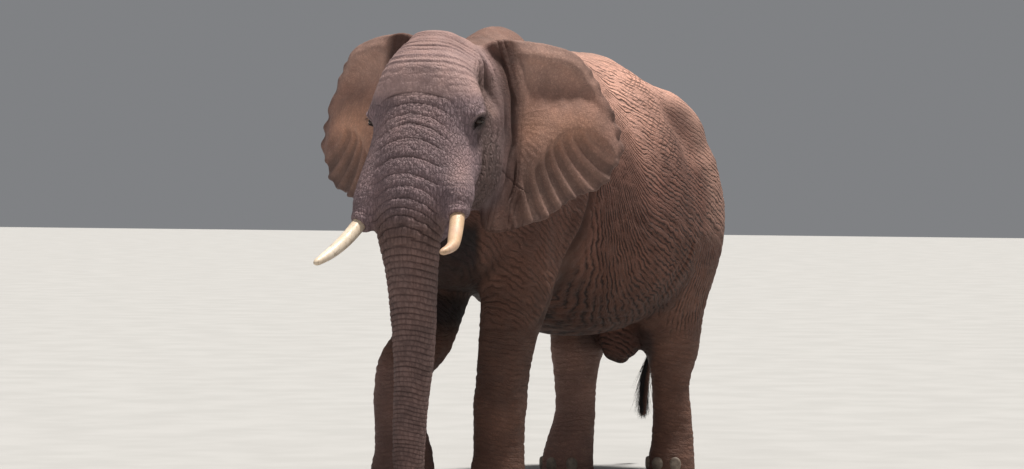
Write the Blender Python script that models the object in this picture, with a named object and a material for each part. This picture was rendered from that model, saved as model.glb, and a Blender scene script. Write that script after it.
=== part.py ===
import math

import numpy as np

# ---------------------------------------------------------------- sizes, metres
# Body axes: +X is the animal's left, +Y its rear, +Z up. y = 0 is the station of the front feet.
SHOULDER_H = 3.13
HEAD_YAW = math.radians(15.0)      # head turned to its left
EYE_MID = (0.425, -1.05, 2.475)     # point between the eyes
EYE_HALF = 0.396
EAR_HALF = 0.0115                  # half the thickness of an ear at its rim
EYE_R = 0.030
SHEATH_LOW_L, SHEATH_LOW_R = -0.57, -0.635   # ends of the tusk sheaths under the eyes

# torso stations: y, top z, bottom z, half width
TORSO = (
    (-0.62, 2.50, 1.62, 0.30),
    (-0.40, 2.80, 1.40, 0.46),
    (-0.10, 2.98, 1.34, 0.56),
    (0.25, 3.02, 1.31, 0.63),
    (0.55, 3.01, 1.21, 0.70),
    (0.90, 2.985, 1.05, 0.765),
    (1.25, 2.985, 0.985, 0.80),
    (1.55, 2.965, 1.02, 0.78),
    (1.85, 2.765, 1.12, 0.715),
    (2.10, 2.67, 1.26, 0.62),
    (2.33, 2.47, 1.43, 0.50),
    (2.49, 2.12, 1.68, 0.31),
)
TORSO_Y0, TORSO_Y1 = -0.72, 2.70


def lerp(a, b, t):
    return a + (b - a) * t


def spline(xs, ys, x):
    """Monotone-ish cubic through stations (Catmull-Rom slopes), flat beyond the ends."""
    xs = np.asarray(xs, float)
    ys = np.asarray(ys, float)
    x = np.clip(x, xs[0], xs[-1])
    i = np.clip(np.searchsorted(xs, x) - 1, 0, len(xs) - 2)
    h = np.diff(xs)
    dy = np.diff(ys, axis=0)
    if ys.ndim > 1:
        h_ = h[:, None]
    else:
        h_ = h
    s = dy / h_
    m = np.empty_like(ys)
    m[0], m[-1] = s[0], s[-1]
    m[1:-1] = (s[:-1] * h_[1:] + s[1:] * h_[:-1]) / (h_[1:] + h_[:-1])
    t = (x - xs[i]) / h[i]
    hh = h[i]
    if ys.ndim > 1:
        t, hh = t[:, None], hh[:, None]
    t2, t3 = t * t, t * t * t
    return (
        (2 * t3 - 3 * t2 + 1) * ys[i]
        + (t3 - 2 * t2 + t) * hh * m[i]
        + (-2 * t3 + 3 * t2) * ys[i + 1]
        + (t3 - t2) * hh * m[i + 1]
    )


def smin(a, b, k):
    h = np.maximum(k - np.abs(a - b), 0.0) / k
    return np.minimum(a, b) - h * h * (k * 0.25)


def smax(a, b, k):
    return -smin(-a, -b, k)


def smoothstep(a, b, x):
    t = np.clip((x - a) / (b - a), 0.0, 1.0)
    return t * t * (3 - 2 * t)


def unit(v):
    v = np.asarray(v, float)
    return v / np.linalg.norm(v)


# head frame: columns are lateral-left, forward, up
HEAD_L = np.array([math.cos(HEAD_YAW), math.sin(HEAD_YAW), 0.0])
HEAD_F = np.array([math.sin(HEAD_YAW), -math.cos(HEAD_YAW), 0.0])
HEAD_U = np.array([0.0, 0.0, 1.0])


def H(x, f, z):
    """Head frame to body axes: x left, f forward, z up from the point between the eyes."""
    return np.array(EYE_MID) + x * HEAD_L + f * HEAD_F + z * HEAD_U


def to_head(P):
    Q = P - np.array(EYE_MID)
    return Q @ HEAD_L, Q @ HEAD_F, Q[:, 2]


class Ellipsoid:
    def __init__(self, centre, radii, k=0.08, axes=None, cut=False):
        self.c = np.asarray(centre, float)
        self.r = np.asarray(radii, float)
        self.A = np.eye(3) if axes is None else np.asarray(axes, float)
        self.k, self.cut = k, cut
        reach = np.sqrt(((self.A * self.r) ** 2).sum(axis=1)) if axes is None else np.full(3, self.r.max())
        self.lo, self.hi = self.c - reach, self.c + reach

    def __call__(self, P):
        q = (P - self.c) @ self.A
        k0 = np.sqrt(((q / self.r) ** 2).sum(axis=1)) + 1e-9
        k1 = np.sqrt(((q / self.r**2) ** 2).sum(axis=1)) + 1e-9
        return k0 * (k0 - 1.0) / k1


HEAD_AXES = np.stack([HEAD_L, HEAD_F, HEAD_U], axis=1)


def head_ell(x, f, z, rx, rf, rz, k=0.08, cut=False, pitch=0.0, roll=0.0):
    A = HEAD_AXES
    if pitch:
        c, s = math.cos(pitch), math.sin(pitch)
        A = A @ np.array([[1, 0, 0], [0, c, -s], [0, s, c]])
    if roll:
        c, s = math.cos(roll), math.sin(roll)
        A = A @ np.array([[c, 0, s], [0, 1, 0], [-s, 0, c]])
    return Ellipsoid(H(x, f, z), (rx, rf, rz), k, A, cut)


class Tube:
    """A solid along a smooth spine: stations of (x, y, z, across, deep), across along `side`."""

    def __init__(self, stations, side=(1, 0, 0), k=0.08, step=0.03, expo=2.0, cap=1.0):
        S = np.asarray(stations, float)
        seg = np.r_[0, np.cumsum(np.linalg.norm(np.diff(S[:, :3], axis=0), axis=1))]
        n = max(4, int(seg[-1] / step) + 1)
        t = np.linspace(0, seg[-1], n)
        D = spline(seg, S, t)
        self.C, self.R, self.s = D[:, :3], D[:, 3:5], t
        T = np.gradient(self.C, t, axis=0)
        T /= np.linalg.norm(T, axis=1)[:, None]
        side = unit(side)
        X = side - (T @ side)[:, None] * T
        X /= np.linalg.norm(X, axis=1)[:, None]
        self.T, self.X, self.Y = T, X, np.cross(T, X)
        self.k, self.cut, self.expo, self.cap = k, False, expo, cap
        r = self.R.max()
        self.lo, self.hi = self.C.min(axis=0) - r, self.C.max(axis=0) + r

    def locate(self, P):
        """For each point: along, u across, v deep, beyond (past an end), radii."""
        C, n = self.C, len(self.C)
        i = np.empty(len(P), np.int64)
        for a in range(0, len(P), 200000):
            b = a + 200000
            d = (P[a:b] ** 2).sum(axis=1)[:, None] - 2 * P[a:b] @ C.T + (C**2).sum(axis=1)
            i[a:b] = d.argmin(axis=1)
        best = np.full(len(P), np.inf)
        along, past = np.zeros(len(P)), np.zeros(len(P))
        for side in (-1, 0):
            j = np.clip(i + side, 0, n - 2)
            D = C[j + 1] - C[j]
            L = np.linalg.norm(D, axis=1)
            q = P - C[j]
            t = (q * D).sum(axis=1) / (L * L)
            c = np.clip(t, 0, 1)
            d = ((q - c[:, None] * D) ** 2).sum(axis=1)
            over = np.where(j == 0, np.minimum(t, 0), 0) + np.where(j == n - 2, np.maximum(t - 1, 0), 0)
            near = d < best
            best = np.where(near, d, best)
            along = np.where(near, j + c, along)
            past = np.where(near, over * L, past)
        j = np.clip(along.astype(np.int64), 0, n - 2)
        w = (along - j)[:, None]
        X = self.X[j] * (1 - w) + self.X[j + 1] * w
        Y = self.Y[j] * (1 - w) + self.Y[j + 1] * w
        R = self.R[j] * (1 - w) + self.R[j + 1] * w
        q = P - (C[j] * (1 - w) + C[j + 1] * w)
        return along * (self.s[1] - self.s[0]), (q * X).sum(axis=1), (q * Y).sum(axis=1), past, R

    def __call__(self, P):
        along, u, v, w, R = self.locate(P)
        e = self.expo
        c = R.min(axis=1) * self.cap
        q = (np.abs(u / R[:, 0]) ** e + np.abs(v / R[:, 1]) ** e + np.abs(w / c) ** e) ** (1 / e) + 1e-9
        rho = np.sqrt(u * u + v * v + w * w)
        return (q - 1) * rho / q


class Torso:
    def __init__(self, k=0.1):
        T = np.asarray(TORSO)
        self.T = T
        self.k, self.cut = k, False
        self.lo = np.array([-0.85, TORSO_Y0, 0.9])
        self.hi = np.array([0.85, TORSO_Y1, 3.2])

    def __call__(self, P):
        T = self.T
        y = P[:, 1]
        S = spline(T[:, 0], T[:, 1:], y)
        top, bot, a = S[:, 0], S[:, 1], S[:, 2]
        # closing of both ends
        past = np.maximum(T[0, 0] - y, 0) + np.maximum(y - T[-1, 0], 0)
        zc = bot + (top - bot) * 0.44
        up = P[:, 2] > zc
        b = np.where(up, top - zc, zc - bot)
        dz = P[:, 2] - zc
        n = np.where(up, 1.92, 2.35)
        x = np.abs(P[:, 0])
        # the upper half leans in to a narrow back
        a_ = np.where(up, a * (1 - 0.10 * smoothstep(0.0, 1.0, dz / b)), a)
        q = ((x / a_) ** n + (np.abs(dz) / b) ** n + (past / 0.12) ** 2) ** (1 / n) + 1e-9
        rho = np.sqrt(x * x + dz * dz + past * past)
        d = (q - 1) * rho / q
        slope = 0.85
        return d * slope


class Ear:
    """A thin sheet: outline by radii about a centre, in a plane hung from the root line."""

    # outline radii about (EC_U, EC_V), every 15 degrees from outward (+u) round through up
    EC = (0.36, -0.10)
    RADII = (0.598, 0.563, 0.542, 0.531, 0.546, 0.555, 0.57, 0.57, 0.581, 0.605, 0.649, 0.723, 0.72,
             0.60, 0.52, 0.489, 0.48, 0.489, 0.541, 0.669, 0.85, 0.757, 0.637, 0.571, 0.505, 0.466,
             0.453, 0.468, 0.52, 0.56, 0.576, 0.625)

    def __init__(self, side, flare, size=1.0, rise=0.0, k=0.05):
        self.side, self.k, self.cut = side, k, False
        self.O = H(side * 0.41, -0.43, 0.02 + rise)
        self.U = unit(math.sin(flare) * side * HEAD_L - math.cos(flare) * HEAD_F)
        lean = HEAD_U - 0.05 * HEAD_F
        self.V = unit(lean - (lean @ self.U) * self.U)
        N = np.cross(self.U, self.V)                   # the face that looks forward and outward
        self.N = N if N @ HEAD_F > 0 else -N
        self.size = size
        corners = np.array([self.O + u * self.U + v * self.V + w * self.N
                            for u in (-0.42, 1.22) for v in (-0.92, 0.72) for w in (-0.35, 0.15)])
        self.lo, self.hi = corners.min(axis=0), corners.max(axis=0)

    def uvw(self, P):
        q = P - self.O
        return q @ self.U, q @ self.V, q @ self.N

    def outline(self, u, v):
        """Signed distance-like value, negative inside, and the direction angle."""
        du, dv = u - self.EC[0], v - self.EC[1]
        th = np.arctan2(dv, du)
        n = len(self.RADII)
        g = (th / (2 * math.pi) * n) % n
        i = np.floor(g).astype(int)
        t = g - i
        R = np.asarray(self.RADII) * self.size
        p0, p1, p2, p3 = R[(i - 1) % n], R[i % n], R[(i + 1) % n], R[(i + 2) % n]
        r = 0.5 * ((2 * p1) + (-p0 + p2) * t + (2 * p0 - 5 * p1 + 4 * p2 - p3) * t * t + (-p0 + 3 * p1 - 3 * p2 + p3) * t**3)
        rho = np.sqrt(du * du + dv * dv)
        scal = 0.006 * np.sin(th * 31 + 0.8 * np.sin(th * 5)) * smoothstep(-0.2, 0.5, du - 0.6 * dv)
        return rho - r - scal, th, rho, r

    def bend(self, u, v, th, rho, r):
        """Offset of the sheet from its plane, towards N."""
        w = -0.03 * np.maximum(u, 0) ** 2                    # sweeps back toward its rim
        w = w + 0.08 * np.minimum(v + 0.1, 0) ** 2           # lower lobe comes forward
        # upper rim leans backward, and the upper root curls over the neck
        w = w - 0.30 * np.maximum(v - 0.15, 0) ** 2 * smoothstep(-0.1, 0.25, u)
        w = w - 2.2 * np.maximum(0.10 - u, 0) ** 2 * smoothstep(0.0, 0.45, v)
        # a rounded roll along the upper rim, hollow under it, and a swell that ends in an arched shelf
        over = smoothstep(0.08, 0.24, u) * smoothstep(1.0, 0.80, u)
        edge = rho / r
        inset = r - rho - 0.095 + 0.035 * smoothstep(0.3, 0.0, v)
        roll = smoothstep(-0.05, 0.24, v) * smoothstep(0.04, 0.20, u)
        tall = 0.052 * (1 - 0.55 * smoothstep(0.50, 0.84, u))
        w = w + tall * roll * (1 + 0.08 * np.sin(th * 19)) * np.exp(-((inset / np.where(inset < 0, 0.085, 0.050)) ** 2))
        w = w - 0.040 * np.exp(-(((v - 0.23) / 0.13) ** 2)) * over * (1 - 0.6 * smoothstep(0.50, 0.84, u))
        arch = v + 0.05 + 1.5 * (u - 0.56) ** 2
        w = w + 0.044 * np.exp(-((arch / np.where(arch > 0, 0.18, 0.060)) ** 2)) * over
        # folds fanning down and outward from under the shelf
        fall = np.hypot(u - 0.23, 0.45 - v)
        phi = np.arctan2(u - 0.23, 0.45 - v) + 0.15 * np.sin(3.0 * fall)
        low = smoothstep(0.015, -0.09, arch) * smoothstep(-0.40, -0.12, phi) * smoothstep(1.6, 1.2, phi) * smoothstep(0.45, 0.65, fall)
        crest = np.cos(2 * math.pi * (phi - 0.02) / 0.150 + 0.8 * np.sin(4.1 * phi))
        w = w + 0.0165 * (np.maximum(crest, 0) ** 1.5 - 0.3) * low * smoothstep(0.30, 0.70, fall)
        w = w + 0.0045 * np.sin(u * 75 + 1.5 * np.sin(u * 21)) * smoothstep(0.86, 1.0, edge) * smoothstep(-0.45, -0.65, v)
        # small flutes of the outer rim
        w = w + 0.010 * np.sin(th * 23 + 1.3 * np.sin(th * 7)) * smoothstep(0.82, 1.0, edge) * smoothstep(0.55, 0.85, u) * smoothstep(-0.45, -0.2, v)
        return w

    def __call__(self, P):
        u, v, w = self.uvw(P)
        o, th, rho, r = self.outline(u, v)
        b = self.bend(u, v, th, rho, r)
        half = EAR_HALF + 0.022 * smoothstep(0.45, -0.05, u) * smoothstep(0.75, 0.2, np.abs(v))
        d = np.abs(w - b)
        i = np.nonzero((d < 0.07) & (o < 0.05))[0]
        if len(i):
            e = 0.004
            steep = 1.0
            for du, dv in ((e, 0.0), (0.0, e)):
                _, t2, rho2, r2 = self.outline(u[i] + du, v[i] + dv)
                steep = steep + ((self.bend(u[i] + du, v[i] + dv, t2, rho2, r2) - b[i]) / e) ** 2
            d[i] = d[i] / np.sqrt(steep)
        sheet = d * 0.95 - half
        return smax(sheet, o * 0.9, 0.022)


def leg(points, side=(1, 0, 0), k=0.12):
    return Tube(points, side=side, k=k, step=0.03)


def front_leg(s, ys, xs, lower, k=0.07):
    """s = side sign; ys and xs run from elbow to sole; lower scales the pastern and sole."""
    return Tube(
        (
            (0.34 * s, 0.18, 2.00, 0.26, 0.40),
            (0.35 * s, 0.16, 1.70, 0.25, 0.36),
            (0.335 * s, ys[0], 1.35, 0.235, 0.28),
            (xs[0] * s, ys[1], 1.05, 0.193, 0.219),
            (xs[1] * s, ys[2], 0.76, 0.175, 0.192),
            (xs[2] * s, ys[3], 0.57, 0.179, 0.195),
            (xs[3] * s, ys[4], 0.40, 0.174, 0.182),
            (xs[4] * s, ys[5], 0.22, lower * 0.176, lower * 0.188),
            (xs[4] * s, ys[6], 0.06, lower * 0.192, lower * 0.216),
            (xs[4] * s, ys[6], -0.10, lower * 0.200, lower * 0.224),
        ),
        k=k, cap=0.6,
    )


def hind_leg(s, y, trail, shift=0.0, slim=1.0, lower=1.0, k=0.14):
    x = 0.30 * s
    return Tube(
        (
            (0.31 * s, 2.02, 2.12, 0.27, 0.46),
            (0.34 * s, 2.08, 1.78, 0.27, 0.47),
            (0.34 * s, 2.06, 1.45, 0.235, 0.41),
            (0.325 * s, lerp(2.04, y, 0.35), 1.15, 0.20, 0.32),
            (0.31 * s, lerp(2.02, y, 0.75) + 0.02, 0.88, 0.175, 0.235),
            (x, y + 0.05 + shift, 0.62, slim * 0.148, slim * 0.170),
            (x, y + 0.05 + 0.6 * shift, 0.40, (0.5 + 0.5 * slim) * 0.146, (0.5 + 0.5 * slim) * 0.158),
            (x, y + 0.03 - trail + 0.3 * shift, 0.20, lower * 0.150, lower * 0.170),
            (x, y + 0.00 - trail, 0.06, lower * 0.160, lower * 0.192),
            (x, y + 0.00 - trail, -0.10, lower * 0.164, lower * 0.198),
        ),
        k=k, cap=0.6,
    )


# stations of the soles
FL_Y, FR_Y = -0.02, -0.365
HL_Y, HR_Y = 2.09, 1.65

TRUNK = (
    # head-frame stations: x, f, z, across, deep
    (0.0, -0.02, 0.05, 0.30, 0.22),
    (0.0, 0.10, -0.15, 0.31, 0.235),
    (0.0, 0.20, -0.40, 0.29, 0.245),
    (0.0, 0.29, -0.62, 0.245, 0.225),
    (0.005, 0.325, -0.74, 0.215, 0.205),
    (0.014, 0.325, -0.92, 0.180, 0.184),
    (0.024, 0.315, -1.17, 0.158, 0.162),
    (0.027, 0.305, -1.50, 0.136, 0.140),
    (0.005, 0.30, -1.82, 0.115, 0.120),
    (-0.015, 0.295, -2.08, 0.108, 0.110),
    (-0.025, 0.265, -2.26, 0.100, 0.096),
    (-0.03, 0.18, -2.365, 0.086, 0.072),
    (-0.03, 0.06, -2.375, 0.072, 0.056),
)


def head_tube(stations, **kw):
    return Tube([tuple(H(*s[:3])) + tuple(s[3:]) for s in stations], side=HEAD_L, **kw)


def body_parts():
    P = []
    P.append(Torso())
    # shoulder blades, haunches, hip points, spine
    for s in (1, -1):
        P.append(Ellipsoid((0.33 * s, 0.12, 2.25), (0.27, 0.44, 0.72), 0.16))
        P.append(Ellipsoid((0.315 * s, 2.04, 1.82), (0.275, 0.41, 0.60), 0.20))
        P.append(Ellipsoid((0.26 * s, 1.80, 2.60), (0.17, 0.26, 0.13), 0.22))
        P.append(Ellipsoid((0.31 * s, 2.06, 2.41), (0.18, 0.27, 0.20), 0.22))
    P.append(Ellipsoid((0, 2.18, 1.62), (0.26, 0.28, 0.42), 0.14))
    P.append(Ellipsoid((0.03, 1.82, 0.965), (0.11, 0.205, 0.20), 0.08))
    P.append(Ellipsoid((0, 0.34, 2.955), (0.155, 0.25, 0.185), 0.13))
    P.append(front_leg(1, (0.10, 0.02, -0.02, -0.025, -0.012, -0.008, FL_Y), (0.322, 0.303, 0.285, 0.268, 0.262), 0.99))
    P.append(front_leg(-1, (0.075, -0.045, -0.345, -0.38, -0.385, -0.355, FR_Y), (0.318, 0.305, 0.29, 0.285, 0.285), 1.13))
    P.append(hind_leg(1, HL_Y - 0.01, -0.01, -0.05, 0.89))
    P.append(hind_leg(-1, HR_Y + 0.03, 0.03, 0.02, 0.98, 1.10))
    # neck
    a, b = H(0, -0.30, 0.02), np.array([0.03, 0.15, 2.32])
    P.append(Tube((
        tuple(a) + (0.36, 0.46),
        tuple(lerp(a, b, 0.4) + (0, 0, -0.02)) + (0.40, 0.52),
        tuple(b) + (0.52, 0.70)), side=(1, 0, 0), k=0.16, cap=0.8))
    return P


def head_parts():
    P = []
    # cranium and back of the head
    P.append(head_ell(0, -0.26, 0.20, 0.36, 0.36, 0.385, 0.10))
    P.append(head_ell(0, -0.34, -0.05, 0.40, 0.36, 0.50, 0.12))
    # face shield: narrow at the crown, widest at the brows
    P.append(head_tube((
        (0, -0.22, 0.44, 0.19, 0.20),
        (0, -0.17, 0.37, 0.25, 0.25),
        (0, -0.12, 0.27, 0.32, 0.295),
        (0, -0.09, 0.13, 0.382, 0.30),
        (0, -0.07, 0.00, 0.368, 0.30),
        (0, -0.04, -0.14, 0.338, 0.29),
        (0, 0.04, -0.34, 0.33, 0.27),
        (0, 0.12, -0.50, 0.31, 0.24)), expo=2.8, k=0.06, cap=0.5))
    trunk = head_tube(TRUNK, k=0.09)
    P.append(trunk)
    for s in (1, -1):
        P.append(head_ell(0.335 * s, 0.015, 0.045, 0.065, 0.10, 0.06, 0.06))      # brow
        P.append(head_ell(0.25 * s, -0.20, -0.30, 0.165, 0.30, 0.28, 0.10))      # cheek
        low, out = (SHEATH_LOW_L, 0.05) if s > 0 else (SHEATH_LOW_R, -0.01)
        P.append(head_tube((
            (0.20 * s, 0.10, -0.22, 0.13, 0.14),
            (0.26 * s + out * 0.4, 0.22, -0.40, 0.12, 0.13),
            (0.28 * s + out, 0.31, low + 0.07, 0.108, 0.11),
            (0.285 * s + out, 0.35, low, 0.085, 0.085)), k=0.08))
        P.append(head_ell(0.425 * s, -0.20, 0.25, 0.135, 0.135, 0.20, 0.06, cut=True))  # temple hollow
    # the two fingers of the trunk's tip
    tip, T, X, Y = trunk.C[-1], trunk.T[-1], trunk.X[-1], trunk.Y[-1]
    for out, deep, wide, thick, reach in ((0.050, 0.026, 0.030, 0.017, 0.046), (0.040, -0.030, 0.036, 0.016, 0.034)):
        P.append(Ellipsoid(tip + T * out + Y * deep, (wide, reach, thick), 0.035, np.stack([X, T, Y], axis=1)))
    # lower jaw and lip
    P.append(head_tube((
        (0, -0.32, -0.42, 0.22, 0.20),
        (0, -0.08, -0.62, 0.19, 0.16),
        (0, 0.10, -0.76, 0.12, 0.11),
        (0, 0.19, -0.88, 0.06, 0.055)), k=0.07))
    return P


def tail_parts():
    return [Tube((
        (0.0, 2.22, 2.46, 0.12, 0.12),
        (0.0, 2.47, 2.28, 0.085, 0.085),
        (-0.01, 2.62, 2.06, 0.058, 0.058),
        (-0.07, 2.675, 1.60, 0.036, 0.032),
        (-0.14, 2.64, 1.15, 0.026, 0.022),
        (-0.19, 2.59, 0.85, 0.022, 0.018),
        (-0.215, 2.565, 0.72, 0.030, 0.022),
        (-0.235, 2.55, 0.55, 0.036, 0.022),
        (-0.245, 2.55, 0.37, 0.024, 0.018)), k=0.06, step=0.02)]


def field(P, parts, pad=0.12):
    out = np.full(len(P), 1.0)
    for p in parts:
        reach = pad + p.k
        m = np.nonzero(((P > p.lo - reach) & (P < p.hi + reach)).all(axis=1))[0]
        if not len(m):
            continue
        d = p(P[m])
        out[m] = smax(out[m], -d, p.k) if p.cut else smin(out[m], d, p.k)
    return out


def floor_cut(f, P, z=0.0):
    return smax(f, z - P[:, 2], 0.012)


def surface(parts, h, lo, hi, ground=True, coarse=8):
    """Sparse surface nets of the zero level: points and quads."""
    lo, hi = np.asarray(lo, float), np.asarray(hi, float)
    H_ = h * coarse
    n = np.ceil((hi - lo) / H_).astype(int)

    def value(P):
        f = field(P, parts)
        return floor_cut(f, P) if ground else f

    # coarse cell centres
    g = np.stack(np.meshgrid(*[np.arange(k) for k in n], indexing="ij"), axis=-1).reshape(-1, 3)
    c = lo + (g + 0.5) * H_
    near = np.abs(value_far(c, parts, ground)) < H_ * 0.87 * 1.6 + 0.02
    blocks = g[near]
    N = n * coarse + 1
    F = np.full(tuple(N), np.nan, np.float32)
    r = np.arange(coarse + 1)
    sub = np.stack(np.meshgrid(r, r, r, indexing="ij"), axis=-1).reshape(-1, 3)
    step = max(1, 600000 // len(sub))
    for a in range(0, len(blocks), step):
        ijk = (blocks[a:a + step, None, :] * coarse + sub[None]).reshape(-1, 3)
        f = value(lo + ijk * h)
        F[ijk[:, 0], ijk[:, 1], ijk[:, 2]] = f
    return nets(F, lo, h)


def value_far(P, parts, ground):
    f = field(P, parts, pad=0.6)
    return floor_cut(f, P) if ground else f


def nets(F, lo, h):
    known = ~np.isnan(F)
    S = np.where(known, F < 0, False)
    cell_ok = known[:-1, :-1, :-1].copy()
    cnt = np.zeros(cell_ok.shape, np.uint8)
    for dx in (0, 1):
        for dy in (0, 1):
            for dz in (0, 1):
                sl = (slice(dx, dx + cell_ok.shape[0]), slice(dy, dy + cell_ok.shape[1]), slice(dz, dz + cell_ok.shape[2]))
                cell_ok &= known[sl]
                cnt += S[sl]
    mixed = cell_ok & (cnt > 0) & (cnt < 8)
    cells = np.argwhere(mixed)
    vid = np.full(mixed.shape, -1, np.int32)
    vid[mixed] = np.arange(len(cells))
    pos = np.zeros((len(cells), 3))
    num = np.zeros(len(cells))
    corner = [(dx, dy, dz) for dx in (0, 1) for dy in (0, 1) for dz in (0, 1)]
    vals = {}
    for cdx in corner:
        vals[cdx] = F[cells[:, 0] + cdx[0], cells[:, 1] + cdx[1], cells[:, 2] + cdx[2]]
    for a in corner:
        for ax in range(3):
            if a[ax] == 1:
                continue
            b = list(a)
            b[ax] = 1
            b = tuple(b)
            fa, fb = vals[a], vals[b]
            cross = (fa < 0) != (fb < 0)
            t = np.where(cross, fa / np.where(cross, fa - fb, 1), 0)
            p = np.asarray(a, float)[None].repeat(len(cells), 0)
            p[:, ax] += t
            pos += p * cross[:, None]
            num += cross
    V = lo + (cells + pos / num[:, None]) * h
    quads = []
    for ax in range(3):
        sh = list(S.shape)
        s0 = [slice(None)] * 3
        s1 = [slice(None)] * 3
        s0[ax] = slice(0, sh[ax] - 1)
        s1[ax] = slice(1, sh[ax])
        A, B = S[tuple(s0)], S[tuple(s1)]
        e = np.argwhere((A != B) & known[tuple(s0)] & known[tuple(s1)])
        u, w = (ax + 1) % 3, (ax + 2) % 3
        e = e[(e[:, u] > 0) & (e[:, w] > 0)]
        e = e[(e[:, u] < mixed.shape[u]) & (e[:, w] < mixed.shape[w])]
        def at(du, dw):
            q = e.copy()
            q[:, u] += du
            q[:, w] += dw
            return vid[q[:, 0], q[:, 1], q[:, 2]]
        Q = np.stack([at(-1, -1), at(0, -1), at(0, 0), at(-1, 0)], axis=1)
        inside = A[e[:, 0], e[:, 1], e[:, 2]]
        Q = np.where(inside[:, None], Q, Q[:, ::-1])
        quads.append(Q[(Q >= 0).all(axis=1)])
    Q = np.concatenate(quads)
    return V, Q


def gradient(P, parts, ground=True, e=0.002):
    G = np.empty_like(P)
    for i in range(3):
        d = np.zeros(3)
        d[i] = e
        a, b = field(P + d, parts), field(P - d, parts)
        if ground:
            a, b = floor_cut(a, P + d), floor_cut(b, P - d)
        G[:, i] = (a - b) / (2 * e)
    return G


def settle(V, parts, ground=True, rounds=2, most=0.006):
    for _ in range(rounds):
        f = field(V, parts)
        if ground:
            f = floor_cut(f, V)
        G = gradient(V, parts, ground)
        g2 = (G * G).sum(axis=1)
        step = (f / np.maximum(g2, 0.05))[:, None] * G
        n = np.linalg.norm(step, axis=1, keepdims=True)
        V = V - step * np.minimum(1, most / np.maximum(n, 1e-9))
    return V


def all_parts(ears=True):
    P = body_parts() + head_parts()
    P += tail_parts()
    if ears:
        P += [EAR_L, EAR_R]
    return P


TUSK_OUT = 0.60
TUSK_HOOK = {1: 0.095, -1: 0.0}                 # the left tusk curls in at its tip
TUSK_ROOT = {1: (0.342, 0.33, SHEATH_LOW_L), -1: (-0.305, 0.33, SHEATH_LOW_R + 0.02)}


def tusk_at(s, run):
    """Centre, direction and radius of a tusk at a distance along it from the sheath's lip."""
    x0, f0, z0 = TUSK_ROOT[s]
    hook = TUSK_HOOK[s]

    def place(r):
        t = r / 0.60
        x = x0 + s * (0.115 * t + 0.03 * t * t) - s * hook * max(t - 0.66, 0) ** 2 * 7
        f = f0 + 0.42 * t + 0.08 * t * t
        z = z0 - 0.40 * t + (0.10 + 0.03 * (s > 0)) * t * t
        return H(x, f, z)
    d = unit(place(run + 0.005) - place(run - 0.005))
    t = max(run, 0) / TUSK_OUT
    r = 0.048 * (1 - 0.10 * t - 0.50 * t**4)
    if t > 0.92:
        r = 0.048 * (1 - 0.10 * 0.92 - 0.50 * 0.92**4) * math.sqrt(max(1 - ((t - 0.92) / 0.084) ** 2, 0.02))
    return place(run), d, r


def eye_centre(s):
    return H((EYE_HALF - 0.012) * s, 0.035, 0.0)


def nails_of():
    """(centre, outward direction, width, height) of each toe nail."""
    N = []
    for x, y, rx, ry, count, spread in (
        (0.262, FL_Y, 0.190, 0.214, 4, 62), (-0.285, FR_Y, 0.217, 0.244, 4, 62),
        (0.30, HL_Y, 0.160, 0.192, 3, 42), (-0.30, HR_Y, 0.176, 0.211, 3, 42),
    ):
        for i in range(count):
            a = math.radians(lerp(-spread, spread, i / (count - 1)))
            d = np.array([math.sin(a), -math.cos(a), 0.0])
            r = 1 / math.sqrt((d[0] / rx) ** 2 + (d[1] / ry) ** 2)
            N.append((np.array([x, y, 0.055]) + d * (r - 0.004), d, 0.046 if count == 4 else 0.044, 0.050))
    return N


def nail_parts():
    P = []
    for c, d, w, h in nails_of():
        A = np.stack([np.cross((0, 0, 1), d), d, np.array([0, 0, 1.0])], axis=1)
        P.append(Ellipsoid(c, (w, 0.022, h), 0.012, A))
    return P


EAR_L = Ear(1, math.radians(32), 1.03)
EAR_R = Ear(-1, math.radians(51), 1.07, 0.03)


# ---------------------------------------------------------------- solids
import bpy
import bmesh
from mathutils import Matrix, Vector

GAP = 0.0003            # clearance between touching pieces
SHIFT = (-0.0278, -0.3696, 0.0)  # moves the body so the middle of its box's underside is the origin
BODY_TRIS, EAR_TRIS = 3600, 380
SKIN = ((0.235, 0.180, 0.150, 1.0), 0.85)
IVORY = ((0.80, 0.70, 0.52, 1.0), 0.42)
EYE = ((0.035, 0.018, 0.010, 1.0), 0.12)
HAIR = ((0.03, 0.026, 0.024, 1.0), 0.6)

for o in list(bpy.data.objects):
    bpy.data.objects.remove(o, do_unlink=True)


def material(name, look):
    m = bpy.data.materials.new(name)
    m.use_nodes = True
    b = m.node_tree.nodes["Principled BSDF"]
    b.inputs["Base Color"].default_value = look[0]
    b.inputs["Roughness"].default_value = look[1]
    b.inputs["Metallic"].default_value = 0.0
    return m


def make(name, V, F):
    me = bpy.data.meshes.new(name)
    me.from_pydata([tuple(v) for v in V], [], [tuple(f) for f in F])
    me.update()
    o = bpy.data.objects.new(name, me)
    bpy.context.scene.collection.objects.link(o)
    return o


def settled(o):
    """The object's modifiers made into its mesh."""
    bpy.context.view_layer.update()
    g = bpy.context.evaluated_depsgraph_get()
    me = bpy.data.meshes.new_from_object(o.evaluated_get(g), depsgraph=g)
    old = o.data
    o.modifiers.clear()
    o.data = me
    bpy.data.meshes.remove(old)
    return o


def repair(b):
    """Pinched or open edges: their points go, and the small holes left are closed again."""
    for _ in range(6):
        bad = {v for e in b.edges if len(e.link_faces) != 2 for v in e.verts}
        if not bad:
            break
        bmesh.ops.delete(b, geom=list(bad), context="VERTS")
        rim = [e for e in b.edges if len(e.link_faces) == 1]
        bmesh.ops.holes_fill(b, edges=rim, sides=0)
        bmesh.ops.delete(b, geom=[v for v in b.verts if not v.link_faces], context="VERTS")


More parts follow.
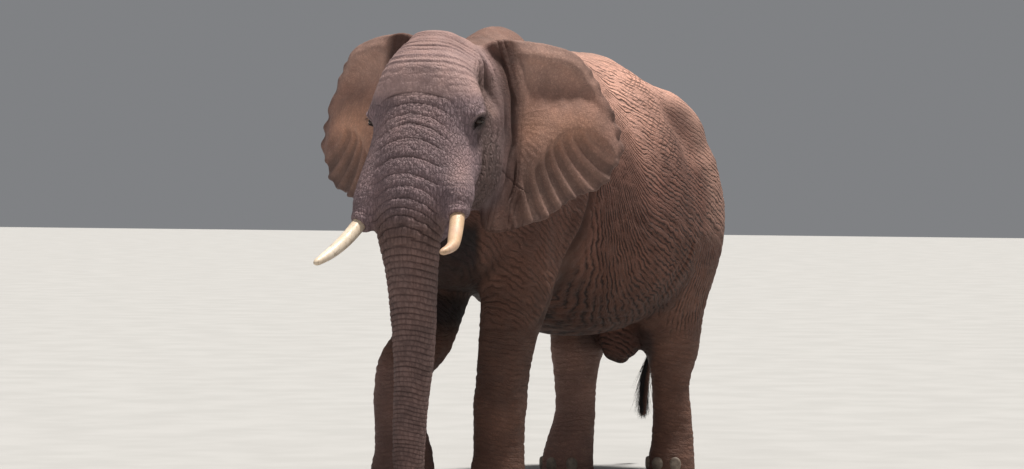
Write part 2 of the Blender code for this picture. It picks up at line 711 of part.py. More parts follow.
def tidy(o, flat=None):
    b = bmesh.new()
    b.from_mesh(o.data)
    if flat is not None:
        for v in b.verts:
            if v.co.z < flat + 0.004:
                v.co.z = flat
    bmesh.ops.remove_doubles(b, verts=b.verts, dist=0.00002)
    bmesh.ops.dissolve_degenerate(b, edges=b.edges, dist=0.00002)
    repair(b)
    bmesh.ops.dissolve_limit(b, angle_limit=0.0004, verts=b.verts, edges=b.edges)
    bmesh.ops.triangulate(b, faces=b.faces)
    repair(b)
    bmesh.ops.triangulate(b, faces=b.faces)
    bmesh.ops.recalc_face_normals(b, faces=b.faces)
    b.to_mesh(o.data)
    b.free()
    return o


def mended(o):
    b = bmesh.new()
    b.from_mesh(o.data)
    repair(b)
    bmesh.ops.triangulate(b, faces=b.faces)
    bmesh.ops.recalc_face_normals(b, faces=b.faces)
    b.to_mesh(o.data)
    b.free()
    return o


def reduced(o, tris):
    n = sum(len(p.vertices) - 2 for p in o.data.polygons)
    d = o.modifiers.new("Decimate", "DECIMATE")
    d.ratio = min(1.0, tris / n)
    return settled(o)


def grown(o, by):
    """A copy with each point moved out along its normal."""
    me = o.data.copy()
    c = bpy.data.objects.new(o.name + "_grown", me)
    bpy.context.scene.collection.objects.link(c)
    b = bmesh.new()
    b.from_mesh(me)
    b.normal_update()
    for v in b.verts:
        v.co = v.co + v.normal * by
    b.to_mesh(me)
    b.free()
    return c


def boolean(o, other, operation):
    m = o.modifiers.new("Boolean", "BOOLEAN")
    m.operation, m.solver, m.object = operation, "EXACT", other
    return settled(o)


def drop(o):
    bpy.data.objects.remove(o, do_unlink=True)


def copy_of(o, name):
    c = bpy.data.objects.new(name, o.data.copy())
    bpy.context.scene.collection.objects.link(c)
    return c


def largest(o):
    """Only the biggest loose piece is kept."""
    b = bmesh.new()
    b.from_mesh(o.data)
    b.verts.ensure_lookup_table()
    left, groups = set(b.verts), []
    while left:
        seed = left.pop()
        group, edge = [seed], [seed]
        while edge:
            v = edge.pop()
            for e in v.link_edges:
                w = e.other_vert(v)
                if w in left:
                    left.discard(w)
                    group.append(w)
                    edge.append(w)
        groups.append(group)
    groups.sort(key=len)
    for g in groups[:-1]:
        bmesh.ops.delete(b, geom=g, context="VERTS")
    b.to_mesh(o.data)
    b.free()
    return o


def block(planes, grow, reach=4.0):
    """A convex cutter: a big box cut by planes (point, outward normal), each moved out by grow."""
    b = bmesh.new()
    bmesh.ops.create_cube(b, size=2 * reach)
    for point, normal in planes:
        n = Vector(normal).normalized()
        p = Vector(point) + n * grow
        geom = list(b.verts) + list(b.edges) + list(b.faces)
        cut = bmesh.ops.bisect_plane(b, geom=geom, plane_co=p, plane_no=n, clear_outer=True)
        edges = [g for g in cut["geom_cut"] if isinstance(g, bmesh.types.BMEdge)]
        if edges:
            bmesh.ops.contextual_create(b, geom=edges)
    bmesh.ops.recalc_face_normals(b, faces=b.faces)
    bmesh.ops.triangulate(b, faces=b.faces)
    me = bpy.data.meshes.new("block")
    b.to_mesh(me)
    b.free()
    o = bpy.data.objects.new("block", me)
    bpy.context.scene.collection.objects.link(o)
    return o


def carve(rest, name, planes):
    """Splits rest by a convex region: returns (piece inside it, what is left)."""
    piece = copy_of(rest, name)
    inner, outer = block(planes, -GAP / 2), block(planes, GAP / 2)
    boolean(piece, inner, "INTERSECT")
    boolean(rest, outer, "DIFFERENCE")
    drop(inner)
    drop(outer)
    return tidy(largest(piece)), tidy(largest(rest))


def curved_tusk(s, grow=0.0, deep=0.0):
    """A tapered tusk along a curve in the head frame; deep lengthens its buried root."""
    rings, sides = 13, 10
    V, F = [], []
    for i in range(rings):
        t = i / (rings - 1)
        run = lerp(-0.10 - deep, TUSK_OUT, t)
        c, d, r = tusk_at(s, run)
        r += grow
        a = unit(np.cross(d, (0, 0, 1)))
        b = np.cross(d, a)
        for k in range(sides):
            w = 2 * math.pi * k / sides
            V.append(c + r * (math.cos(w) * a + math.sin(w) * b))
    for i in range(rings - 1):
        for k in range(sides):
            j = (k + 1) % sides
            F.append((i * sides + k, i * sides + j, (i + 1) * sides + j, (i + 1) * sides + k))
    c0, d0, _ = tusk_at(s, -0.10 - deep)
    c1, d1, _ = tusk_at(s, TUSK_OUT)
    V.append(c0)
    V.append(c1 + d1 * (0.006 + grow))
    a, b = len(V) - 2, len(V) - 1
    for k in range(sides):
        j = (k + 1) % sides
        F.append((a, j, k))
        F.append((b, (rings - 1) * sides + k, (rings - 1) * sides + j))
    o = make("tusk_" + ("left" if s > 0 else "right"), V, F)
    return tidy(o)


def ball(name, centre, radius, seg=14, rings=8):
    b = bmesh.new()
    bmesh.ops.create_uvsphere(b, u_segments=seg, v_segments=rings, radius=radius, matrix=Matrix.Translation(Vector(centre)))
    me = bpy.data.meshes.new(name)
    b.to_mesh(me)
    b.free()
    o = bpy.data.objects.new(name, me)
    bpy.context.scene.collection.objects.link(o)
    return tidy(o)


def crossings(Q):
    """How many edges are shared by other than two faces."""
    E = np.sort(np.concatenate([Q[:, [0, 1]], Q[:, [1, 2]], Q[:, [2, 3]], Q[:, [3, 0]]]), axis=1)
    key = E[:, 0].astype(np.int64) * (Q.max() + 1) + E[:, 1]
    return int((np.unique(key, return_counts=True)[1] != 2).sum())


def closed_surface(parts, h, lo, hi, ground, most):
    """The zero level on the first grid offset that gives a clean closed mesh."""
    for i in range(3):
        start = np.asarray(lo) - h * np.array([0.31 * i, 0.17 * i, 0.0])
        V, Q = surface(parts, h, start, hi, ground)
        if crossings(Q) == 0:
            break
    return settle(V, parts, ground, most=most), Q


BOX = ((-1.2, -1.8, -0.08), (1.2, 2.9, 3.3))
flesh = body_parts() + head_parts() + tail_parts() + nail_parts()
V, Q = closed_surface(flesh, 0.018, *BOX, True, 0.010)
rest = tidy(reduced(mended(make("flesh", V, Q)), BODY_TRIS), flat=0.0)
nodes = []

# ears: thin sheets cut back to the head
for s, ear in ((1, EAR_L), (-1, EAR_R)):
    sheet = [ear]
    V, Q = closed_surface(sheet, 0.0095, ear.lo, ear.hi, False, 0.006)
    o = reduced(mended(make("ear_" + ("left" if s > 0 else "right"), V, Q)), EAR_TRIS)
    tidy(o)
    big = grown(rest, GAP)
    boolean(o, big, "DIFFERENCE")
    drop(big)
    nodes.append((tidy(largest(o)), "skin"))

# tusks and eyes sit in hollows of the head
for s in (1, -1):
    t = curved_tusk(s)
    hole = curved_tusk(s, GAP, GAP)
    boolean(rest, hole, "DIFFERENCE")
    drop(hole)
    nodes.append((t, "ivory"))
    c = eye_centre(s)
    e = ball("eye_" + ("left" if s > 0 else "right"), c, EYE_R)
    hole = ball("hole", c, EYE_R + GAP * 2)
    boolean(rest, hole, "DIFFERENCE")
    drop(hole)
    nodes.append((e, "eye"))
tidy(largest(rest))

# trunk in four lengths, head, jaw, neck
def hp(x, f, z):
    return tuple(H(x, f, z))


def hn(x, f, z):
    return tuple(x * HEAD_L + f * HEAD_F + z * HEAD_U)


def cut(name, planes, slot="skin"):
    global rest
    piece, rest = carve(rest, name, planes)
    nodes.append((piece, slot))


FRONT = (hp(0, -0.12, -1.2), hn(0, -1, 0))
SIDES = ((hp(0.45, 0, 0), hn(1, 0, 0)), (hp(-0.45, 0, 0), hn(-1, 0, 0)))
cut("trunk_tip", [(hp(0, 0.2, -2.13), hn(0, -0.12, 1)), FRONT, *SIDES])
cut("trunk_lower", [(hp(0, 0.3, -1.60), hn(0, 0, 1)), FRONT, *SIDES])
cut("trunk_middle", [(hp(0, 0.3, -1.10), hn(0, 0, 1)), FRONT, *SIDES])
cut("trunk_upper", [(hp(0, 0.3, -0.80), hn(0, -0.2, 1)), (hp(0, 0.12, -0.90), hn(0, -1, 0)), *SIDES])
cut("lower_jaw", [(hp(0, -0.05, -0.60), hn(0, 0.32, 1)), (hp(0, 0.205, -0.8), hn(0, 1, 0)), (hp(0, -0.32, -0.6), hn(0, -1, -0.3)),
                  (hp(0.27, 0, 0), hn(1, 0, 0)), (hp(-0.27, 0, 0), hn(-1, 0, 0))])
cut("head", [(hp(0, -0.62, 0.5), hn(0, -1.15, -0.26)), (hp(0, 0, 0.9), hn(0, 0, 1)), (hp(0, 0, -1.1), hn(0, 0, -1)),
             (hp(0.7, 0, 0), hn(1, 0, 0)), (hp(-0.7, 0, 0), hn(-1, 0, 0))])
cut("neck", [((0, -0.06, 3.10), (0, 1.5, -0.62)), ((0, 0, 1.45), (0, 0, -1)), ((0.9, 0, 0), (1, 0, 0)), ((-0.9, 0, 0), (-1, 0, 0))])
cut("tail_tuft", [((0, 2.5, 0.86), (0, 0, 1)), ((0, 2.44, 0.5), (0, -1, 0)), ((0.1, 0, 0), (1, 0, 0))])
cut("tail", [((0, 2.50, 2.2), (0, -1, 0.03)), ((0.085, 0, 2.0), (1, 0, 0.02)), ((-0.085, 0, 2.0), (-1, 0, -0.14)), ((0, 2.5, 2.24), (0, -0.3, 1))])
for s, side, y in ((1, "left", FL_Y), (-1, "right", FR_Y)):
    out = ((0, 0, 0), (-s, 0, 0))
    cut("forefoot_" + side, [((0, 0, 0.26), (0, 0, 1)), out, ((0, 0.75, 0), (0, 1, 0)), ((0, -0.85, 0), (0, -1, 0))])
    cut("foreleg_" + side, [((0, 0, 1.06), (0, 0, 1)), out, ((0, 0.75, 0), (0, 1, 0)), ((0, -0.85, 0), (0, -1, 0))])
for s, side in ((1, "left"), (-1, "right")):
    out = ((0, 0, 0), (-s, 0, 0))
    cut("hindfoot_" + side, [((0, 0, 0.24), (0, 0, 1)), out, ((0, 1.2, 0), (0, -1, 0))])
    cut("hindleg_" + side, [((0, 0, 0.80), (0, 0, 1)), out, ((0, 1.2, 0), (0, -1, 0))])
for s, side in ((1, "left"), (-1, "right")):
    cut("upper_arm_" + side, [((0.12 * s, 0, 1.06), (-s, 0, 0.42)), ((0, 0.46, 1.06), (0, 1, -0.20)), ((0, 0.3, 1.78), (0, 0.35, 1)), ((0, -0.6, 0), (0, -1, 0))])
    cut("thigh_" + side, [((0.10 * s, 0, 0.80), (-s, 0, 0.34)), ((0, 1.58, 0.9), (0, -1, 0.10)), ((0, 2.0, 1.75), (0, -0.35, 1))])
rest.name = "torso"
nodes.append((rest, "skin"))

LOOKS = {"skin": SKIN, "ivory": IVORY, "eye": EYE, "hair": HAIR}
for o, slot in nodes:
    if o.name == "tail_tuft":
        slot = "hair"
    o.data.materials.clear()
    o.data.materials.append(material(o.name, LOOKS[slot]))
    for v in o.data.vertices:
        v.co = v.co + Vector(SHIFT)
    for p in o.data.polygons:
        p.use_smooth = slot in ("ivory", "eye", "skin")
        p.material_index = 0
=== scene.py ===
import math

import numpy as np
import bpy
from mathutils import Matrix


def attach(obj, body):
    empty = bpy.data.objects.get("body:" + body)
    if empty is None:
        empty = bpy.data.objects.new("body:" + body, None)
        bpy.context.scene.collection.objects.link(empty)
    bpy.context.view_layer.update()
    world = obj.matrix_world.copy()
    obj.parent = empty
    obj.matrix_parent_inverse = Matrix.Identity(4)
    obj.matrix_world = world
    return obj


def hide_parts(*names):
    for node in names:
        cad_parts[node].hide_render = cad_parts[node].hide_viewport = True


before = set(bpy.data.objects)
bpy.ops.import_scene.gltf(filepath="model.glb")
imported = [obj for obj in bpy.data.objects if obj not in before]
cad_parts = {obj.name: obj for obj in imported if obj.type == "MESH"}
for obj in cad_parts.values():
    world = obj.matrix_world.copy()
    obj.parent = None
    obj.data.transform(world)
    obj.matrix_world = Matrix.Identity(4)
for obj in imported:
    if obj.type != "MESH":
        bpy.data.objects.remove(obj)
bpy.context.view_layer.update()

# ---------------------------------------------------------------- sizes, metres
# Body axes: +X is the animal's left, +Y its rear, +Z up. y = 0 is the station of the front feet.
SHOULDER_H = 3.13
HEAD_YAW = math.radians(15.0)      # head turned to its left
EYE_MID = (0.425, -1.05, 2.475)     # point between the eyes
EYE_HALF = 0.396
EAR_HALF = 0.0115                  # half the thickness of an ear at its rim
EYE_R = 0.030
SHEATH_LOW_L, SHEATH_LOW_R = -0.57, -0.635   # ends of the tusk sheaths under the eyes

# torso stations: y, top z, bottom z, half width
TORSO = (
    (-0.62, 2.50, 1.62, 0.30),
    (-0.40, 2.80, 1.40, 0.46),
    (-0.10, 2.98, 1.34, 0.56),
    (0.25, 3.02, 1.31, 0.63),
    (0.55, 3.01, 1.21, 0.70),
    (0.90, 2.985, 1.05, 0.765),
    (1.25, 2.985, 0.985, 0.80),
    (1.55, 2.965, 1.02, 0.78),
    (1.85, 2.765, 1.12, 0.715),
    (2.10, 2.67, 1.26, 0.62),
    (2.33, 2.47, 1.43, 0.50),
    (2.49, 2.12, 1.68, 0.31),
)
TORSO_Y0, TORSO_Y1 = -0.72, 2.70


def lerp(a, b, t):
    return a + (b - a) * t


def spline(xs, ys, x):
    """Monotone-ish cubic through stations (Catmull-Rom slopes), flat beyond the ends."""
    xs = np.asarray(xs, float)
    ys = np.asarray(ys, float)
    x = np.clip(x, xs[0], xs[-1])
    i = np.clip(np.searchsorted(xs, x) - 1, 0, len(xs) - 2)
    h = np.diff(xs)
    dy = np.diff(ys, axis=0)
    if ys.ndim > 1:
        h_ = h[:, None]
    else:
        h_ = h
    s = dy / h_
    m = np.empty_like(ys)
    m[0], m[-1] = s[0], s[-1]
    m[1:-1] = (s[:-1] * h_[1:] + s[1:] * h_[:-1]) / (h_[1:] + h_[:-1])
    t = (x - xs[i]) / h[i]
    hh = h[i]
    if ys.ndim > 1:
        t, hh = t[:, None], hh[:, None]
    t2, t3 = t * t, t * t * t
    return (
        (2 * t3 - 3 * t2 + 1) * ys[i]
        + (t3 - 2 * t2 + t) * hh * m[i]
        + (-2 * t3 + 3 * t2) * ys[i + 1]
        + (t3 - t2) * hh * m[i + 1]
    )


def smin(a, b, k):
    h = np.maximum(k - np.abs(a - b), 0.0) / k
    return np.minimum(a, b) - h * h * (k * 0.25)


def smax(a, b, k):
    return -smin(-a, -b, k)


def smoothstep(a, b, x):
    t = np.clip((x - a) / (b - a), 0.0, 1.0)
    return t * t * (3 - 2 * t)


def unit(v):
    v = np.asarray(v, float)
    return v / np.linalg.norm(v)


# head frame: columns are lateral-left, forward, up
HEAD_L = np.array([math.cos(HEAD_YAW), math.sin(HEAD_YAW), 0.0])
HEAD_F = np.array([math.sin(HEAD_YAW), -math.cos(HEAD_YAW), 0.0])
HEAD_U = np.array([0.0, 0.0, 1.0])


def H(x, f, z):
    """Head frame to body axes: x left, f forward, z up from the point between the eyes."""
    return np.array(EYE_MID) + x * HEAD_L + f * HEAD_F + z * HEAD_U


def to_head(P):
    Q = P - np.array(EYE_MID)
    return Q @ HEAD_L, Q @ HEAD_F, Q[:, 2]


class Ellipsoid:
    def __init__(self, centre, radii, k=0.08, axes=None, cut=False):
        self.c = np.asarray(centre, float)
        self.r = np.asarray(radii, float)
        self.A = np.eye(3) if axes is None else np.asarray(axes, float)
        self.k, self.cut = k, cut
        reach = np.sqrt(((self.A * self.r) ** 2).sum(axis=1)) if axes is None else np.full(3, self.r.max())
        self.lo, self.hi = self.c - reach, self.c + reach

    def __call__(self, P):
        q = (P - self.c) @ self.A
        k0 = np.sqrt(((q / self.r) ** 2).sum(axis=1)) + 1e-9
        k1 = np.sqrt(((q / self.r**2) ** 2).sum(axis=1)) + 1e-9
        return k0 * (k0 - 1.0) / k1


HEAD_AXES = np.stack([HEAD_L, HEAD_F, HEAD_U], axis=1)


def head_ell(x, f, z, rx, rf, rz, k=0.08, cut=False, pitch=0.0, roll=0.0):
    A = HEAD_AXES
    if pitch:
        c, s = math.cos(pitch), math.sin(pitch)
        A = A @ np.array([[1, 0, 0], [0, c, -s], [0, s, c]])
    if roll:
        c, s = math.cos(roll), math.sin(roll)
        A = A @ np.array([[c, 0, s], [0, 1, 0], [-s, 0, c]])
    return Ellipsoid(H(x, f, z), (rx, rf, rz), k, A, cut)


class Tube:
    """A solid along a smooth spine: stations of (x, y, z, across, deep), across along `side`."""

    def __init__(self, stations, side=(1, 0, 0), k=0.08, step=0.03, expo=2.0, cap=1.0):
        S = np.asarray(stations, float)
        seg = np.r_[0, np.cumsum(np.linalg.norm(np.diff(S[:, :3], axis=0), axis=1))]
        n = max(4, int(seg[-1] / step) + 1)
        t = np.linspace(0, seg[-1], n)
        D = spline(seg, S, t)
        self.C, self.R, self.s = D[:, :3], D[:, 3:5], t
        T = np.gradient(self.C, t, axis=0)
        T /= np.linalg.norm(T, axis=1)[:, None]
        side = unit(side)
        X = side - (T @ side)[:, None] * T
        X /= np.linalg.norm(X, axis=1)[:, None]
        self.T, self.X, self.Y = T, X, np.cross(T, X)
        self.k, self.cut, self.expo, self.cap = k, False, expo, cap
        r = self.R.max()
        self.lo, self.hi = self.C.min(axis=0) - r, self.C.max(axis=0) + r

    def locate(self, P):
        """For each point: along, u across, v deep, beyond (past an end), radii."""
        C, n = self.C, len(self.C)
        i = np.empty(len(P), np.int64)
        for a in range(0, len(P), 200000):
            b = a + 200000
            d = (P[a:b] ** 2).sum(axis=1)[:, None] - 2 * P[a:b] @ C.T + (C**2).sum(axis=1)
            i[a:b] = d.argmin(axis=1)
        best = np.full(len(P), np.inf)
        along, past = np.zeros(len(P)), np.zeros(len(P))
        for side in (-1, 0):
            j = np.clip(i + side, 0, n - 2)
            D = C[j + 1] - C[j]
            L = np.linalg.norm(D, axis=1)
            q = P - C[j]
            t = (q * D).sum(axis=1) / (L * L)
            c = np.clip(t, 0, 1)
            d = ((q - c[:, None] * D) ** 2).sum(axis=1)
            over = np.where(j == 0, np.minimum(t, 0), 0) + np.where(j == n - 2, np.maximum(t - 1, 0), 0)
            near = d < best
            best = np.where(near, d, best)
            along = np.where(near, j + c, along)
            past = np.where(near, over * L, past)
        j = np.clip(along.astype(np.int64), 0, n - 2)
        w = (along - j)[:, None]
        X = self.X[j] * (1 - w) + self.X[j + 1] * w
        Y = self.Y[j] * (1 - w) + self.Y[j + 1] * w
        R = self.R[j] * (1 - w) + self.R[j + 1] * w
        q = P - (C[j] * (1 - w) + C[j + 1] * w)
        return along * (self.s[1] - self.s[0]), (q * X).sum(axis=1), (q * Y).sum(axis=1), past, R

    def __call__(self, P):
        along, u, v, w, R = self.locate(P)
        e = self.expo
        c = R.min(axis=1) * self.cap
        q = (np.abs(u / R[:, 0]) ** e + np.abs(v / R[:, 1]) ** e + np.abs(w / c) ** e) ** (1 / e) + 1e-9
        rho = np.sqrt(u * u + v * v + w * w)
        return (q - 1) * rho / q


class Torso:
    def __init__(self, k=0.1):
        T = np.asarray(TORSO)
        self.T = T
        self.k, self.cut = k, False
        self.lo = np.array([-0.85, TORSO_Y0, 0.9])
        self.hi = np.array([0.85, TORSO_Y1, 3.2])

    def __call__(self, P):
        T = self.T
        y = P[:, 1]
        S = spline(T[:, 0], T[:, 1:], y)
        top, bot, a = S[:, 0], S[:, 1], S[:, 2]
        # closing of both ends
        past = np.maximum(T[0, 0] - y, 0) + np.maximum(y - T[-1, 0], 0)
        zc = bot + (top - bot) * 0.44
        up = P[:, 2] > zc
        b = np.where(up, top - zc, zc - bot)
        dz = P[:, 2] - zc
        n = np.where(up, 1.92, 2.35)
        x = np.abs(P[:, 0])
        # the upper half leans in to a narrow back
        a_ = np.where(up, a * (1 - 0.10 * smoothstep(0.0, 1.0, dz / b)), a)
        q = ((x / a_) ** n + (np.abs(dz) / b) ** n + (past / 0.12) ** 2) ** (1 / n) + 1e-9
        rho = np.sqrt(x * x + dz * dz + past * past)
        d = (q - 1) * rho / q
        slope = 0.85
        return d * slope


class Ear:
    """A thin sheet: outline by radii about a centre, in a plane hung from the root line."""

    # outline radii about (EC_U, EC_V), every 15 degrees from outward (+u) round through up
    EC = (0.36, -0.10)
    RADII = (0.598, 0.563, 0.542, 0.531, 0.546, 0.555, 0.57, 0.57, 0.581, 0.605, 0.649, 0.723, 0.72,
             0.60, 0.52, 0.489, 0.48, 0.489, 0.541, 0.669, 0.85, 0.757, 0.637, 0.571, 0.505, 0.466,
             0.453, 0.468, 0.52, 0.56, 0.576, 0.625)

    def __init__(self, side, flare, size=1.0, rise=0.0, k=0.05):
        self.side, self.k, self.cut = side, k, False
        self.O = H(side * 0.41, -0.43, 0.02 + rise)
        self.U = unit(math.sin(flare) * side * HEAD_L - math.cos(flare) * HEAD_F)
        lean = HEAD_U - 0.05 * HEAD_F
        self.V = unit(lean - (lean @ self.U) * self.U)
        N = np.cross(self.U, self.V)                   # the face that looks forward and outward
        self.N = N if N @ HEAD_F > 0 else -N
        self.size = size
        corners = np.array([self.O + u * self.U + v * self.V + w * self.N
                            for u in (-0.42, 1.22) for v in (-0.92, 0.72) for w in (-0.35, 0.15)])
        self.lo, self.hi = corners.min(axis=0), corners.max(axis=0)

    def uvw(self, P):
        q = P - self.O
        return q @ self.U, q @ self.V, q @ self.N

    def outline(self, u, v):
        """Signed distance-like value, negative inside, and the direction angle."""
        du, dv = u - self.EC[0], v - self.EC[1]
        th = np.arctan2(dv, du)
        n = len(self.RADII)
        g = (th / (2 * math.pi) * n) % n
        i = np.floor(g).astype(int)
        t = g - i
        R = np.asarray(self.RADII) * self.size
        p0, p1, p2, p3 = R[(i - 1) % n], R[i % n], R[(i + 1) % n], R[(i + 2) % n]
        r = 0.5 * ((2 * p1) + (-p0 + p2) * t + (2 * p0 - 5 * p1 + 4 * p2 - p3) * t * t + (-p0 + 3 * p1 - 3 * p2 + p3) * t**3)
        rho = np.sqrt(du * du + dv * dv)
        scal = 0.006 * np.sin(th * 31 + 0.8 * np.sin(th * 5)) * smoothstep(-0.2, 0.5, du - 0.6 * dv)
        return rho - r - scal, th, rho, r

    def bend(self, u, v, th, rho, r):
        """Offset of the sheet from its plane, towards N."""
        w = -0.03 * np.maximum(u, 0) ** 2                    # sweeps back toward its rim
        w = w + 0.08 * np.minimum(v + 0.1, 0) ** 2           # lower lobe comes forward
        # upper rim leans backward, and the upper root curls over the neck
        w = w - 0.30 * np.maximum(v - 0.15, 0) ** 2 * smoothstep(-0.1, 0.25, u)
        w = w - 2.2 * np.maximum(0.10 - u, 0) ** 2 * smoothstep(0.0, 0.45, v)
        # a rounded roll along the upper rim, hollow under it, and a swell that ends in an arched shelf
        over = smoothstep(0.08, 0.24, u) * smoothstep(1.0, 0.80, u)
        edge = rho / r
        inset = r - rho - 0.095 + 0.035 * smoothstep(0.3, 0.0, v)
        roll = smoothstep(-0.05, 0.24, v) * smoothstep(0.04, 0.20, u)
        tall = 0.052 * (1 - 0.55 * smoothstep(0.50, 0.84, u))
        w = w + tall * roll * (1 + 0.08 * np.sin(th * 19)) * np.exp(-((inset / np.where(inset < 0, 0.085, 0.050)) ** 2))
        w = w - 0.040 * np.exp(-(((v - 0.23) / 0.13) ** 2)) * over * (1 - 0.6 * smoothstep(0.50, 0.84, u))
        arch = v + 0.05 + 1.5 * (u - 0.56) ** 2
        w = w + 0.044 * np.exp(-((arch / np.where(arch > 0, 0.18, 0.060)) ** 2)) * over
        # folds fanning down and outward from under the shelf
        fall = np.hypot(u - 0.23, 0.45 - v)
        phi = np.arctan2(u - 0.23, 0.45 - v) + 0.15 * np.sin(3.0 * fall)
        low = smoothstep(0.015, -0.09, arch) * smoothstep(-0.40, -0.12, phi) * smoothstep(1.6, 1.2, phi) * smoothstep(0.45, 0.65, fall)
        crest = np.cos(2 * math.pi * (phi - 0.02) / 0.150 + 0.8 * np.sin(4.1 * phi))
        w = w + 0.0165 * (np.maximum(crest, 0) ** 1.5 - 0.3) * low * smoothstep(0.30, 0.70, fall)
        w = w + 0.0045 * np.sin(u * 75 + 1.5 * np.sin(u * 21)) * smoothstep(0.86, 1.0, edge) * smoothstep(-0.45, -0.65, v)
        # small flutes of the outer rim
        w = w + 0.010 * np.sin(th * 23 + 1.3 * np.sin(th * 7)) * smoothstep(0.82, 1.0, edge) * smoothstep(0.55, 0.85, u) * smoothstep(-0.45, -0.2, v)
        return w

    def __call__(self, P):
        u, v, w = self.uvw(P)
        o, th, rho, r = self.outline(u, v)
        b = self.bend(u, v, th, rho, r)
        half = EAR_HALF + 0.022 * smoothstep(0.45, -0.05, u) * smoothstep(0.75, 0.2, np.abs(v))
        d = np.abs(w - b)
        i = np.nonzero((d < 0.07) & (o < 0.05))[0]
        if len(i):
            e = 0.004
            steep = 1.0
            for du, dv in ((e, 0.0), (0.0, e)):
                _, t2, rho2, r2 = self.outline(u[i] + du, v[i] + dv)
                steep = steep + ((self.bend(u[i] + du, v[i] + dv, t2, rho2, r2) - b[i]) / e) ** 2
            d[i] = d[i] / np.sqrt(steep)
        sheet = d * 0.95 - half
        return smax(sheet, o * 0.9, 0.022)


def leg(points, side=(1, 0, 0), k=0.12):
    return Tube(points, side=side, k=k, step=0.03)


def front_leg(s, ys, xs, lower, k=0.07):
    """s = side sign; ys and xs run from elbow to sole; lower scales the pastern and sole."""
    return Tube(
        (
            (0.34 * s, 0.18, 2.00, 0.26, 0.40),
            (0.35 * s, 0.16, 1.70, 0.25, 0.36),
            (0.335 * s, ys[0], 1.35, 0.235, 0.28),
            (xs[0] * s, ys[1], 1.05, 0.193, 0.219),
            (xs[1] * s, ys[2], 0.76, 0.175, 0.192),
            (xs[2] * s, ys[3], 0.57, 0.179, 0.195),
            (xs[3] * s, ys[4], 0.40, 0.174, 0.182),
            (xs[4] * s, ys[5], 0.22, lower * 0.176, lower * 0.188),
            (xs[4] * s, ys[6], 0.06, lower * 0.192, lower * 0.216),
            (xs[4] * s, ys[6], -0.10, lower * 0.200, lower * 0.224),
        ),
        k=k, cap=0.6,
    )


def hind_leg(s, y, trail, shift=0.0, slim=1.0, lower=1.0, k=0.14):
    x = 0.30 * s
    return Tube(
        (
            (0.31 * s, 2.02, 2.12, 0.27, 0.46),
            (0.34 * s, 2.08, 1.78, 0.27, 0.47),
            (0.34 * s, 2.06, 1.45, 0.235, 0.41),
            (0.325 * s, lerp(2.04, y, 0.35), 1.15, 0.20, 0.32),
            (0.31 * s, lerp(2.02, y, 0.75) + 0.02, 0.88, 0.175, 0.235),
            (x, y + 0.05 + shift, 0.62, slim * 0.148, slim * 0.170),
            (x, y + 0.05 + 0.6 * shift, 0.40, (0.5 + 0.5 * slim) * 0.146, (0.5 + 0.5 * slim) * 0.158),
            (x, y + 0.03 - trail + 0.3 * shift, 0.20, lower * 0.150, lower * 0.170),
            (x, y + 0.00 - trail, 0.06, lower * 0.160, lower * 0.192),
            (x, y + 0.00 - trail, -0.10, lower * 0.164, lower * 0.198),
        ),
        k=k, cap=0.6,
    )


# stations of the soles
FL_Y, FR_Y = -0.02, -0.365
HL_Y, HR_Y = 2.09, 1.65

TRUNK = (
    # head-frame stations: x, f, z, across, deep
    (0.0, -0.02, 0.05, 0.30, 0.22),
    (0.0, 0.10, -0.15, 0.31, 0.235),
    (0.0, 0.20, -0.40, 0.29, 0.245),
    (0.0, 0.29, -0.62, 0.245, 0.225),
    (0.005, 0.325, -0.74, 0.215, 0.205),
    (0.014, 0.325, -0.92, 0.180, 0.184),
    (0.024, 0.315, -1.17, 0.158, 0.162),
    (0.027, 0.305, -1.50, 0.136, 0.140),
    (0.005, 0.30, -1.82, 0.115, 0.120),
    (-0.015, 0.295, -2.08, 0.108, 0.110),
    (-0.025, 0.265, -2.26, 0.100, 0.096),
    (-0.03, 0.18, -2.365, 0.086, 0.072),
    (-0.03, 0.06, -2.375, 0.072, 0.056),
)


def head_tube(stations, **kw):
    return Tube([tuple(H(*s[:3])) + tuple(s[3:]) for s in stations], side=HEAD_L, **kw)


def body_parts():
    P = []
    P.append(Torso())
    # shoulder blades, haunches, hip points, spine
    for s in (1, -1):
        P.append(Ellipsoid((0.33 * s, 0.12, 2.25), (0.27, 0.44, 0.72), 0.16))
        P.append(Ellipsoid((0.315 * s, 2.04, 1.82), (0.275, 0.41, 0.60), 0.20))
        P.append(Ellipsoid((0.26 * s, 1.80, 2.60), (0.17, 0.26, 0.13), 0.22))
        P.append(Ellipsoid((0.31 * s, 2.06, 2.41), (0.18, 0.27, 0.20), 0.22))
    P.append(Ellipsoid((0, 2.18, 1.62), (0.26, 0.28, 0.42), 0.14))
    P.append(Ellipsoid((0.03, 1.82, 0.965), (0.11, 0.205, 0.20), 0.08))
    P.append(Ellipsoid((0, 0.34, 2.955), (0.155, 0.25, 0.185), 0.13))
    P.append(front_leg(1, (0.10, 0.02, -0.02, -0.025, -0.012, -0.008, FL_Y), (0.322, 0.303, 0.285, 0.268, 0.262), 0.99))
    P.append(front_leg(-1, (0.075, -0.045, -0.345, -0.38, -0.385, -0.355, FR_Y), (0.318, 0.305, 0.29, 0.285, 0.285), 1.13))
    P.append(hind_leg(1, HL_Y - 0.01, -0.01, -0.05, 0.89))
    P.append(hind_leg(-1, HR_Y + 0.03, 0.03, 0.02, 0.98, 1.10))
    # neck
    a, b = H(0, -0.30, 0.02), np.array([0.03, 0.15, 2.32])
    P.append(Tube((
        tuple(a) + (0.36, 0.46),
        tuple(lerp(a, b, 0.4) + (0, 0, -0.02)) + (0.40, 0.52),
        tuple(b) + (0.52, 0.70)), side=(1, 0, 0), k=0.16, cap=0.8))
    return P


